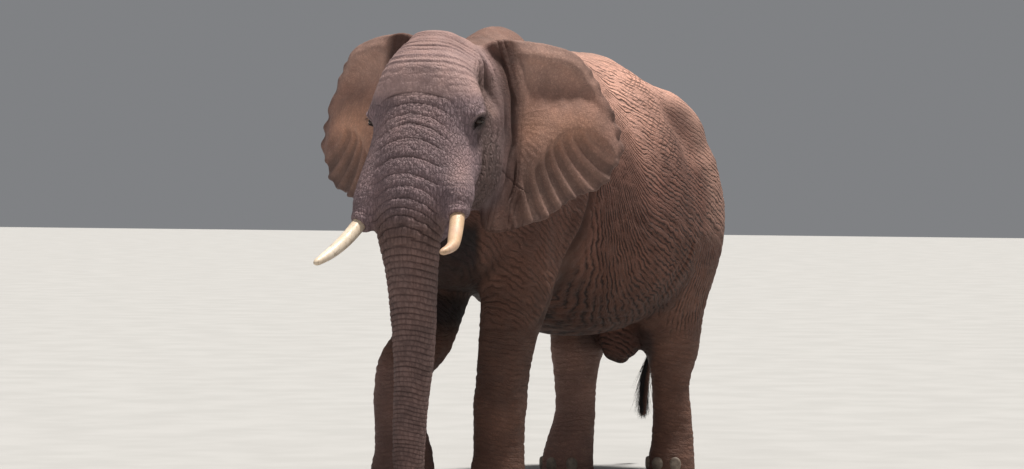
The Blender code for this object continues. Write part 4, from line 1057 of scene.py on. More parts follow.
# cobbled cheeks and sides of the face
c = cracks(V[i], (0.034, 0.034, 0.040), 81)
cheek = share["head"][i] * smoothstep(0.14, 0.26, ax[i]) * smoothstep(0.22, 0.0, hz[i]) * (1 - on_trunk)
carve_in(i, 0.0022, valley(c, 0.40) * cheek, 0.35)
# behind the cheek, upright folds run down and forward from the ear's root to the jaw
curtain = w = share["head"][i] * smoothstep(0.22, 0.30, ax[i]) * smoothstep(0.05, -0.04, hf[i] + 0.10 * hz[i]) * smoothstep(-0.03, -0.12, hz[i]) * smoothstep(-0.66, -0.52, hz[i])
ph = (-hf[i] - 0.34 * (hz[i] + 0.1) + 0.022 * clouds(V[i], 0.16, 82, 2)) / 0.078
each = smoothstep(-0.6, 0.3, noise(np.stack([np.round(ph) * 2.9, hz[i] * 3.2, hz[i] * 0 + np.sign(hx[i])], axis=1), 1.0, 80))
carve_in(i, 0.0200, broad(ph) * w * (0.40 + 0.60 * each), 1.0)
# crown: arched wrinkles parallel to its outline
w = share["head"][i] * smoothstep(0.30, 0.42, hz[i]) * smoothstep(-0.42, -0.26, hf[i])
ph = (hz[i] * 0.80 - hf[i] * 0.60 - 0.35 * hx[i] ** 2 + 0.010 * clouds(V[i], 0.14, 83, 2)) / 0.036
each = 0.45 + 0.55 * noise(np.stack([np.round(ph) * 2.7, hx[i] * 5, ph * 0], axis=1), 1.0, 84)
carve_in(i, 0.0095, folds(ph) * w * np.clip(each, 0, 1), 0.95)
# forehead: shallow network
w = share["head"][i] * smoothstep(0.05, 0.2, hz[i]) * smoothstep(0.45, 0.30, hz[i])
carve_in(i, 0.0020, valley(cracks(V[i], 0.045, 85), 0.35) * w, 0.35)
# upright folds from the temple past the ear's root to the throat
side = (share["head"] + share["neck"] + share["ear"])[i] * smoothstep(0.20, 0.30, ax[i]) * smoothstep(-0.10, -0.26, hf[i]) * smoothstep(0.52, 0.40, hz[i]) * smoothstep(-0.72, -0.50, hz[i])
side *= smoothstep(-0.62, -0.46, hf[i])
side = side * (1 - 0.8 * curtain)
ph = (-hf[i] + 0.30 * (hz[i] - 0.10) ** 2 + 0.020 * clouds(V[i], 0.18, 87, 2)) / 0.072
each = smoothstep(-0.4, 0.3, noise(np.stack([np.round(ph) * 2.3, hz[i] * 3.0, hz[i] * 0 + np.sign(hx[i])], axis=1), 1.0, 88))
carve_in(i, 0.0170, broad(ph) * side * (0.3 + 0.7 * each), 0.95)
temple = share["head"][i] * np.exp(-(((hf[i] + 0.15) / 0.10) ** 2 + ((hz[i] - 0.22) / 0.20) ** 2)) * smoothstep(0.22, 0.30, ax[i])
ph = (hz[i] * 0.75 + hf[i] * 0.66 + 0.016 * clouds(V[i], 0.12, 89, 2)) / 0.050
carve_in(i, 0.0090, broad(ph) * temple, 0.9)
# under the jaw
w = share["head"][i] * smoothstep(-0.42, -0.58, hz[i]) * smoothstep(0.22, 0.10, hf[i])
ph = (hf[i] * 0.9 + hz[i] * 0.3 + 0.01 * noise(V[i], 0.1, 91)) / 0.042
carve_in(i, 0.006, folds(ph) * w, 0.8)
# the mouth's line, from behind the trunk's base up towards the cheek
MOUTH = ((-0.20, -0.50), (-0.08, -0.575), (0.05, -0.665), (0.16, -0.775))
line = np.interp(hf[i], [m[0] for m in MOUTH], [m[1] for m in MOUTH])
w = share["head"][i] * smoothstep(-0.24, -0.12, hf[i]) * smoothstep(0.20, 0.12, hf[i])
g = np.exp(-(((hz[i] - line) / 0.013) ** 2)) * w * (ax[i] < 0.3)
carve_in(i, 0.016, g, 1.0)
D[i] += 0.006 * np.exp(-(((hz[i] - line + 0.035) / 0.018) ** 2)) * w

# ears: raised veins fanning from the root, fine cross wrinkles near it
EAR_UV = {}
for s, ear in ((1, EAR_L), (-1, EAR_R)):
    i = where(share["ear"] * (hx * s > 0.3))
    u, v, w_ = ear.uvw(V[i])
    o, th, rho, r = ear.outline(u, v)
    EAR_UV[s] = (i, u, v, o, w_ - ear.bend(u, v, th, rho, r))
    ang = np.arctan2(v + 0.02, u + 0.10)
    far = np.hypot(v + 0.02, u + 0.10)
    fan = np.stack([far, ang * 0.55, np.full(len(i), 0.37 * s)], axis=1)
    vein = np.abs(noise(fan + 0.03 * clouds(fan, 0.2, 93, 2)[:, None], (0.42, 0.085, 1.0), 94))
    D[i] += 0.0014 * smoothstep(0.26, 0.0, vein) * smoothstep(0.12, 0.3, far) * share["ear"][i]
    c = cracks(np.stack([u * 0.8, v * 0.8, w_ * 0.3], axis=1), 0.030, 95)
    carve_in(i, 0.0010, valley(c, 0.4) * share["ear"][i], 0.35)
    root = share["ear"][i] * smoothstep(0.17, 0.03, u)
    ph = (u + 0.25 * (v - 0.05) ** 2 + 0.022 * clouds(V[i], 0.16, 96, 2)) / 0.043
    each = smoothstep(-0.35, 0.35, noise(np.stack([np.round(ph) * 2.3, v * 3.2, v * 0], axis=1), 1.0, 99 + s))
    carve_in(i, 0.0085, folds(ph) * root * (0.25 + 0.75 * each), 0.75)

# the crease across an ear's lower lobe
i, u, v, o, w_ = EAR_UV[1]
fold_d, fold_t = track(u, v, ((-0.10, -0.34), (-0.02, -0.40), (0.06, -0.46), (0.15, -0.50)))
carve_in(i, 0.0045, np.exp(-((fold_d / 0.006) ** 2)) * smoothstep(1.0, 0.85, fold_t) * (np.abs(fold_d) < 0.03), 0.9)

# lips of the tusk sheaths
for s in (1, -1):
    c0, d0, r0 = SHEATH[s]
    i = np.nonzero(near(V, c0, 0.16))[0]
    q = V[i] - c0
    al = q @ d0
    rr = np.sqrt(np.maximum((q * q).sum(axis=1) - al * al, 0))
    w = smoothstep(-0.10, -0.02, al)
    D[i] += 0.009 * np.exp(-(((rr - 0.068) / 0.013) ** 2)) * w
    g = np.exp(-(((rr - 0.046) / 0.008) ** 2)) * w
    carve_in(i, 0.010, g, 1.0)
    ph = (al + 0.004 * noise(q, 0.04, 97)) / 0.022
    carve_in(i, 0.0035, folds(ph) * np.exp(-(((rr - 0.085) / 0.03) ** 2)), 0.7)

# ---------------------------------------------------------------- eyes: socket, lids and their folds
LID_L, LID_UP, LID_LOW = 0.0395, 0.0225, 0.0190
EYE_AXES = {}
for s in (1, -1):
    n_ = unit(s * 0.84 * HEAD_L + 0.54 * HEAD_F + 0.05 * HEAD_U)
    t_ = HEAD_F * 0.95 - 0.26 * HEAD_U
    t_ = unit(t_ - (t_ @ n_) * n_)
    v_ = np.cross(n_, t_)
    v_ = v_ if v_ @ HEAD_U > 0 else -v_
    EYE_AXES[s] = (t_, v_, n_)


def almond(a, b):
    """Distance-like value from the opening between the lids, negative inside."""
    t = np.clip(np.abs(a) / LID_L, 0, 1)
    up = LID_UP * (1 - t**1.8) ** 0.8
    low = LID_LOW * (1 - t**2.2) ** 0.9
    d = np.where(b > 0, (b - up) * 0.85, (-b - low) * 0.85)
    return np.where(np.abs(a) > LID_L, np.hypot(np.abs(a) - LID_L, b) + 0.0, d)


PLACE = V.copy()
EYE_AT = {}
V = V + N * np.clip(D, -0.035, 0.016)[:, None]
for s in (1, -1):
    t_, v_, n_ = EYE_AXES[s]
    i = np.nonzero(near(V, EYES[s], 0.12))[0]
    i = i[(V[i] - EYES[s]) @ n_ > -0.02]
    q = V[i] - EYES[s]
    a, b, c = q @ t_, q @ v_, q @ n_
    rr = np.hypot(a, b)
    # the eyeball sits a little under the level of the brow
    sink = 0.0165
    centre = EYES[s] - n_ * sink
    EYE_AT[s] = centre
    c = c + sink
    dome = np.sqrt(np.maximum((EYE_R + 0.0045) ** 2 - rr**2, 0))
    c = c - 0.020 * np.exp(-((a / 0.062) ** 2 + ((b + 0.008) / 0.046) ** 2))
    c = c + 0.015 * np.exp(-(((b - 0.050 + 4.0 * a * a) / 0.013) ** 2)) * smoothstep(0.085, 0.03, np.abs(a))     # overhanging fold above
    lid = np.where(rr < EYE_R + 0.004, dome, -1)
    c = np.where(rr < EYE_R + 0.008, smax(c, lid, 0.006), c)
    d = almond(a, b)
    w = smoothstep(0.0, 0.004, d)
    for at, deep_, wid in ((0.0075, 0.0026, 0.0022), (0.0155, 0.0030, 0.0030), (0.026, 0.0034, 0.0038), (0.039, 0.0034, 0.0046), (0.054, 0.0030, 0.0052)):
        wob = at + 0.0022 * noise(q, 0.02, 101) + np.where(b < 0, 0.0015, 0.0)
        g = np.exp(-(((d - wob) / wid) ** 2)) * w
        g *= np.where(b > 0, 1.0, 0.75) * (0.65 + 0.35 * noise(np.stack([np.arctan2(b, a) * 0.05, a * 0, a * 0 + at], axis=1), 0.03, 102))
        c = c - deep_ * g
        # painted shade in each fold of the lids
        crease_shade[i] = np.maximum(crease_shade[i], 0.85 * g)
    c = c + 0.0012 * np.exp(-(((d - 0.0022) / 0.0018) ** 2))
    c = c - 0.018 * smoothstep(0.0003, -0.0016, d) * (rr < 0.06)
    # painted shade on the skin inside the opening between the lids
    crease_shade[i] = np.maximum(crease_shade[i], smoothstep(0.0008, -0.0010, d))
    # darker, wet-looking skin round the opening
    EYE_AXES[s] = (t_, v_, n_)
    V[i] = centre + a[:, None] * t_ + b[:, None] * v_ + c[:, None] * n_

# nostrils in the end of the trunk
T_, X_, Y_ = TRUNK_TUBE.T[-1], TRUNK_TUBE.X[-1], TRUNK_TUBE.Y[-1]
i = np.nonzero(near(V, TIP, 0.11))[0]
q = V[i] - TIP
al, lu, lv = q @ T_, q @ X_, q @ Y_
for k in (1, -1):
    g = smoothstep(0.019, 0.011, np.hypot(lu - 0.023 * k, lv * 0.9)) * smoothstep(0.0, 0.02, al)
    V[i] -= T_ * (0.035 * g)[:, None]
    # painted shade inside each nostril
    crease_shade[i] = np.maximum(crease_shade[i], g)
V[:, 2] = np.maximum(V[:, 2], 0.0)

# ---------------------------------------------------------------- tone of the hide, by place and lie of the surface
NF = normals(V, Q, ngons)
up = np.clip(N[:, 2], -1, 1)
DUST = np.array((0.42, 0.255, 0.205))       # dry dust on what faces up
BODY_TONE = np.array((0.098, 0.048, 0.037))
LOW_TONE = np.array((0.110, 0.057, 0.041))  # legs and underside
HEAD_TONE = np.array((0.275, 0.197, 0.214))
TRUNK_TONE = np.array((0.180, 0.114, 0.104))
EAR_TONE = np.array((0.310, 0.176, 0.140))
EAR_BACK = np.array((0.240, 0.140, 0.112))
tone = np.tile(BODY_TONE, (len(V), 1))


def blend(w, colour):
    global tone
    tone = tone + (np.asarray(colour) - tone) * np.clip(w, 0, 1)[:, None]


def solid_rump():
    return np.clip(share["torso"] + share["leg2"] + share["leg3"], 0, 1) * smoothstep(1.85, 2.10, y) * smoothstep(1.55, 1.85, z)


patchy = clouds(V, 0.55, 201, 3)
fine_patch = clouds(V, 0.16, 205, 3)
legs = share["leg0"] + share["leg1"] + share["leg2"] + share["leg3"]
blend(smoothstep(2.1, 1.1, z + 0.15 * patchy), LOW_TONE)
blend(0.8 * smoothstep(0.34, 0.26, np.sqrt(((V - (0.03, 1.82, 0.965)) ** 2).sum(axis=1))) * smoothstep(1.06, 0.98, z), (0.045, 0.030, 0.028))
# lower flank and belly darker towards the bottom, and painted shade where the chest is tucked between the legs; a paler
# rump, and a hind shank made paler with painted light
blend(0.55 * share["torso"] * smoothstep(1.75, 1.35, z + 0.12 * patchy) * smoothstep(0.35, 0.55, y), (0.082, 0.034, 0.022))
across = 0.819 * x + 0.574 * y
# painted shade: the chest tucked between the legs, the upper right foreleg and the throat under the jaw made near black
painted_shade = smoothstep(1.86, 1.74, z) * smoothstep(1.12, 1.24, z) * smoothstep(0.80, 0.45, y) * smoothstep(0.11, 0.05, across) * (share["torso"] + share["neck"] + share["leg0"])
painted_shade = np.maximum(painted_shade, share["leg1"] * smoothstep(0.95, 1.15, z) * smoothstep(2.3, 2.0, z) * smoothstep(-0.50, -0.44, x))
painted_shade = np.maximum(painted_shade, (share["head"] + share["neck"]) * smoothstep(-0.43, -0.52, hz) * smoothstep(0.16, 0.06, hf) * smoothstep(-0.50, -0.36, hf))
blend(0.93 * painted_shade, (0.010, 0.006, 0.005))
# painted shade on the chest and belly where they face down
blend(0.80 * smoothstep(-0.25, -0.80, up) * (share["torso"] + share["neck"]) * smoothstep(1.9, 1.4, z), (0.030, 0.015, 0.011))
blend(0.60 * solid_rump(), (0.250, 0.160, 0.130))
# painted light: the lower right hind leg made paler as if lit from the ground
blend(0.70 * share["leg3"] * smoothstep(1.00, 0.80, z), (0.250, 0.155, 0.128))
blend(0.55 * share["leg1"] * smoothstep(0.95, 0.75, z), (0.170, 0.108, 0.098))
blend(0.40 * share["leg0"] * smoothstep(1.50, 1.20, z) * smoothstep(0.50, 0.70, z), (0.055, 0.029, 0.022))
blend((share["head"] + share["trunk"] * smoothstep(-0.80, -0.50, hz)) * 0.95, HEAD_TONE)
blend(share["trunk"] * smoothstep(-0.35, -0.95, hz), TRUNK_TONE)
for s, ear in ((1, EAR_L), (-1, EAR_R)):
    i, u, v, o, w_ = EAR_UV[s]
    facing = (N[i] @ ear.N) > 0
    e = np.zeros(len(V))
    e[i] = share["ear"][i] * smoothstep(0.02, 0.15, u)
    back = e.copy()
    back[i] *= ~facing
    blend(e, EAR_TONE)
    blend(back, EAR_BACK)
    # painted light: a warm pale swell across the middle where the ear faces the light, brighter and more golden on the
    # right ear as if light shines through it
    mid = np.zeros(len(V))
    mid[i] = np.exp(-(((v + 0.07) / 0.16) ** 2)) * smoothstep(0.95, 0.55, u) * e[i] * facing
    blend((0.65 if s > 0 else 0.90) * mid, (0.42, 0.225, 0.152) if s > 0 else (0.58, 0.315, 0.215))
    # painted highlight on the upper band, which faces up to the light
    top = np.zeros(len(V))
    top[i] = smoothstep(0.12, 0.34, v) * e[i] * facing
    blend(0.65 * top, (0.50, 0.315, 0.255))
    # painted shade on the lower part, which faces down
    low = np.zeros(len(V))
    low[i] = smoothstep(-0.12, -0.40, v) * e[i] * facing
    blend(0.55 * low, (0.165, 0.104, 0.084))
    # painted shade in the valleys and painted highlights on the crests of the folds fanning from under the shelf
    fall = np.hypot(u - 0.23, 0.45 - v)
    phi = np.arctan2(u - 0.23, 0.45 - v) + 0.15 * np.sin(3.0 * fall)
    arch = v + 0.05 + 1.5 * (u - 0.56) ** 2
    fan_w = smoothstep(0.015, -0.09, arch) * smoothstep(-0.40, -0.12, phi) * smoothstep(1.6, 1.2, phi) * smoothstep(0.45, 0.70, fall) * e[i] * facing
    crest = np.cos(2 * math.pi * (phi - 0.02) / 0.150 + 0.8 * np.sin(4.1 * phi))
    fold_shade_and_highlight = np.zeros(len(V))
    fold_shade_and_highlight[i] = fan_w * smoothstep(0.45, -0.5, crest)
    blend(0.34 * fold_shade_and_highlight, (0.085, 0.052, 0.042))
    fold_shade_and_highlight[i] = fan_w * smoothstep(0.55, 0.98, crest)
    blend(0.18 * fold_shade_and_highlight, (0.42, 0.25, 0.195))
    rim = np.zeros(len(V))
    rim[i] = smoothstep(-0.085, -0.010, o) * e[i]
    blend(0.62 * rim, (0.12, 0.072, 0.062))
# dust on the crown, back and shoulders
dust = smoothstep(0.12, 0.80, up + 0.14 * patchy + 0.10 * fine_patch) * (1 - 0.5 * share["ear"])
blend(0.88 * dust * smoothstep(1.5, 2.5, z) * (1 - 0.55 * smoothstep(0.85, 0.45, y)), DUST)
blend(0.30 * share["head"] * smoothstep(0.40, 0.52, hz), (0.34, 0.205, 0.170))
blend(0.70 * share["head"] * smoothstep(0.10, 0.22, hz) * smoothstep(0.50, 0.36, hz) * (1 + 0.4 * fine_patch), (0.45, 0.300, 0.278))
blend(0.60 * share["head"] * np.exp(-(((hz - 0.200) / 0.070) ** 2 + (hx / 0.22) ** 2)), (0.60, 0.410, 0.385))
# dark smudge on the forehead; painted shade on the sides of the head behind the face and in the temple hollows; wet
# track below the eye
smudge = share["head"] * np.exp(-(((hx - 0.02) / 0.12) ** 2 + ((hz - 0.335) / 0.030) ** 2)) * (0.7 + 0.3 * fine_patch)
blend(0.62 * smudge, (0.11, 0.074, 0.074))
# painted shade on the side of the head behind the face
painted_side_shade = share["head"] * smoothstep(0.22, 0.30, ax) * smoothstep(0.03, -0.06, hf + 0.10 * hz) * smoothstep(0.40, 0.22, hz)
blend(0.80 * painted_side_shade, (0.105, 0.066, 0.055))
# painted shade in the temple hollows
blend(0.35 * share["head"] * np.exp(-(((ax - 0.40) / 0.10) ** 2 + ((hf + 0.17) / 0.12) ** 2 + ((hz - 0.24) / 0.16) ** 2)), (0.11, 0.068, 0.055))
for s in (1, -1):
    q = V - EYE_AT[s]
    m = near(V, EYE_AT[s], 0.25)
    t_, v_, n_ = EYE_AXES[s]
    a, b = q @ t_, q @ v_
    # dark skin round the eye, together with painted shade of the socket
    blend(0.97 * m * np.exp(-(((a / 0.061) ** 2 + ((b + 0.010) / 0.047) ** 2) ** 2)), (0.014, 0.009, 0.008))
    # painted highlight on the fold above the upper lid
    blend(0.75 * m * np.exp(-(((b - 0.046 + 4.0 * a * a) / 0.010) ** 2)) * smoothstep(0.075, 0.04, np.abs(a)), (0.46, 0.34, 0.33))
    blend(0.35 * m * np.exp(-(((a + 0.25 * b) / 0.022) ** 2)) * smoothstep(0.0, -0.05, b) * smoothstep(-0.20, -0.08, b), (0.10, 0.066, 0.062))
tone = tone * (1 + 0.16 * patchy + 0.12 * fine_patch)[:, None]
# freckled, slightly pinker skin on ears, forehead and trunk base
pink = (0.5 * share["ear"] + 0.5 * share["head"] * smoothstep(0.5, 0.0, np.abs(hz))) * smoothstep(0.1, 0.6, clouds(V, 0.22, 211, 2))
blend(0.25 * pink, (0.34, 0.205, 0.175))
tone = np.clip(tone, 0.01, 0.6)

# wrinkle space for the fine creases: coordinates in cells, drawn out along the wrinkles
flow = np.zeros((len(V), 3))
flow_share = np.zeros(len(V))


def lay(w, A, B, C, size):
    """Where this region is strongest its own coordinates hold; strength fades at its border."""
    m = w > 0.5
    flow[m] = np.stack([A[m] / size[0], B[m] / size[1], C[m] / size[2]], axis=1)
    flow_share[m] = smoothstep(0.5, 0.85, w[m])


torso_w = share["torso"] * smoothstep(0.35, 0.6, y)
lay(head_skin, hz, hx, hf, (0.064, 0.019, 0.019))
lay(share["neck"], z, y, x, (0.13, 0.036, 0.10))
flow_share *= 1 - 0.65 * share["head"] * smoothstep(0.10, 0.18, hz)

# two sets of long wrinkles, each a phase counted across them and a strength that dies away at its border
line = {"a": [np.zeros(len(V)), np.zeros(len(V))], "b": [np.zeros(len(V)), np.zeros(len(V))]}


def rule(which, w, phase):
    at, strength = line[which]
    m = w > strength
    at[m], strength[m] = phase[m], w[m]


solid = np.clip(share["torso"] + legs, 0, 1)
thigh_w = smoothstep(1.70, 1.86, y) * smoothstep(1.80, 1.55, z) * smoothstep(0.85, 1.10, z) * smoothstep(-0.02, 0.05, groin_d) * solid
arm_w = smoothstep(0.0, -0.05, arm_d) * smoothstep(0.95, 1.15, z) * smoothstep(2.75, 2.45, z) * smoothstep(0.62, 0.52, y) * np.clip(solid + share["neck"], 0, 1)
flank_w = smoothstep(0.42, 0.56, y) * smoothstep(-0.01, 0.03, arm_d) * share["torso"] * (1 - 0.8 * thigh_w)
flank_w = np.maximum(flank_w, solid * smoothstep(1.45, 1.6, z) * smoothstep(1.2, 1.5, y) * (1 - 0.8 * thigh_w)) * smoothstep(1.0, 1.06, z + 0.5 * share["torso"])
hip = np.exp(-(((y - 1.90) / 0.34) ** 2 + ((z - 2.52) / 0.27) ** 2))
rule("a", (1 - 0.55 * hip) * flank_w * smoothstep(3.02, 2.86, z + 0.2 * (y < 0.8)), PSI / 0.0345)
rule("a", legs * smoothstep(1.20, 1.0, z) * 0.42, (z + 0.05 * np.sin(3.0 * y + 2.0 * x)) / 0.033)
rule("b", 0.75 * (1 - 0.85 * hip) * smoothstep(1.05, 1.45, y) * smoothstep(1.95, 2.25, z) * smoothstep(3.0, 2.85, z) * share["torso"] * (1 - 0.5 * smoothstep(1.75, 2.05, y)), CHI / 0.042)
rule("b", thigh_w * 0.9, (y + 0.08 * (z - 1.3)) / 0.037)
rule("b", arm_w * 0.62, (z + 0.80 * y) / 1.28 / 0.036)
rule("b", legs * smoothstep(0.98, 0.80, z) * 0.30, (0.85 * z + 0.5 * y + 0.25 * x) / 0.036)

# ---------------------------------------------------------------- meshes
def scene_mesh(name, V, quads, ngons=(), smooth=True):
    me = bpy.data.meshes.new(name)
    quads = np.asarray(quads, np.int32)
    loops = np.concatenate([quads.ravel(), np.concatenate([np.asarray(p, np.int32) for p in ngons])]) if len(ngons) else quads.ravel()
    counts = np.concatenate([np.full(len(quads), quads.shape[1]), np.array([len(p) for p in ngons], int)]) if len(ngons) else np.full(len(quads), quads.shape[1])
    starts = np.r_[0, np.cumsum(counts)[:-1]]
    me.vertices.add(len(V))
    me.vertices.foreach_set("co", np.asarray(V, np.float32).ravel())
    me.loops.add(len(loops))
    me.loops.foreach_set("vertex_index", loops.astype(np.int32))
    me.polygons.add(len(starts))
    me.polygons.foreach_set("loop_start", starts.astype(np.int32))
    me.polygons.foreach_set("use_smooth", np.full(len(starts), smooth))
    me.update(calc_edges=True)
    o = bpy.data.objects.new(name, me)
    bpy.context.scene.collection.objects.link(o)
    return o


def attribute(o, name, kind, values):
    a = o.data.attributes.new(name, kind, "POINT")
    key = {"FLOAT": "value", "FLOAT_VECTOR": "vector", "FLOAT_COLOR": "color"}[kind]
    values = np.asarray(values, np.float32)
    if kind == "FLOAT_COLOR":
        values = np.concatenate([values, np.ones((len(values), 1), np.float32)], axis=1)
    a.data.foreach_set(key, values.ravel())


face_w = np.clip(share["head"] + share["trunk"], 0, 1)
skin = scene_mesh("hide", V + SHIFT, Q, ngons)
attribute(skin, "face", "FLOAT", face_w)
attribute(skin, "tone", "FLOAT_COLOR", tone)
attribute(skin, "flow", "FLOAT_VECTOR", flow)
attribute(skin, "flow_share", "FLOAT", flow_share)
attribute(skin, "crease_shade", "FLOAT", crease_shade)
for k in "ab":
    attribute(skin, "line_" + k, "FLOAT", line[k][0])
    attribute(skin, "line_share_" + k, "FLOAT", line[k][1])
attribute(skin, "ring_phase", "FLOAT", ring_phase)
attribute(skin, "ring_share", "FLOAT", ring_share)
attribute(skin, "ear_share", "FLOAT", share["ear"])
attribute(skin, "trunk_share", "FLOAT", share["trunk"] * smoothstep(-0.50, -0.72, hz))
attribute(skin, "damp", "FLOAT", sum(np.exp(-(((V - EYE_AT[s]) ** 2).sum(axis=1)) / 0.028**2) for s in (1, -1)))


# ---------------------------------------------------------------- shader helpers
class Graph:
    def __init__(self, name):
        self.mat = bpy.data.materials.new(name)
        self.mat.use_nodes = True
        self.t = self.mat.node_tree
        self.shader = self.t.nodes["Principled BSDF"]

    def node(self, kind, props=None, **inputs):
        n = self.t.nodes.new(kind)
        for k, v in (props or {}).items():
            setattr(n, k, v)
        for k, v in inputs.items():
            self.put(n.inputs[k.replace("_", " ")] if k.replace("_", " ") in n.inputs else n.inputs[int(k[1:])], v)
        return n

    def put(self, socket, v):
        if isinstance(v, bpy.types.NodeSocket):
            self.t.links.new(v, socket)
        elif isinstance(v, (tuple, list)) and len(v) == 3 and socket.type == "RGBA":
            socket.default_value = (*v, 1.0)
        else:
            socket.default_value = v

    def attr(self, name, out="Fac"):
        return self.node("ShaderNodeAttribute", {"attribute_name": name}).outputs[out]

    def maths(self, op, a, b=0.0, c=None):
        n = self.t.nodes.new("ShaderNodeMath")
        n.operation = op
        self.put(n.inputs[0], a)
        self.put(n.inputs[1], b)
        if c is not None:
            self.put(n.inputs[2], c)
        return n.outputs[0]

    def ramp(self, v, a, b, lo=0.0, hi=1.0):
        n = self.t.nodes.new("ShaderNodeMapRange")
        n.interpolation_type = "SMOOTHSTEP"
        for k, w in enumerate((v, a, b, lo, hi)):
            self.put(n.inputs[k], w)
        return n.outputs[0]

    def mix(self, f, a, b, kind="MIX"):
        n = self.t.nodes.new("ShaderNodeMix")
        n.data_type, n.blend_type = "RGBA", kind
        self.put(n.inputs[0], f)
        self.put(n.inputs[6], a)
        self.put(n.inputs[7], b)
        return n.outputs[2]

    def scaled(self, vec, by):
        n = self.t.nodes.new("ShaderNodeVectorMath")
        n.operation = "MULTIPLY"
        self.put(n.inputs[0], vec)
        n.inputs[1].default_value = by
        return n.outputs[0]

    def plus(self, vec, other):
        n = self.t.nodes.new("ShaderNodeVectorMath")
        n.operation = "ADD"
        self.put(n.inputs[0], vec)
        self.put(n.inputs[1], other)
        return n.outputs[0]

    def bump(self, height, distance, strength=1.0):
        n = self.node("ShaderNodeBump")
        n.inputs["Strength"].default_value = strength
        n.inputs["Distance"].default_value = distance
        self.put(n.inputs["Height"], height)
        self.put(self.shader.inputs["Normal"], n.outputs["Normal"])

    def noise(self, vec, scale, detail=3.0, rough=0.55, out="Fac"):
        n = self.node("ShaderNodeTexNoise", Scale=scale, Detail=detail, Roughness=rough)
        self.put(n.inputs["Vector"], vec)
        return n.outputs[out]

    def borders(self, vec, scale, rand=1.0):
        n = self.node("ShaderNodeTexVoronoi", {"feature": "DISTANCE_TO_EDGE"}, Scale=scale, Randomness=rand)
        self.put(n.inputs["Vector"], vec)
        return n.outputs["Distance"]


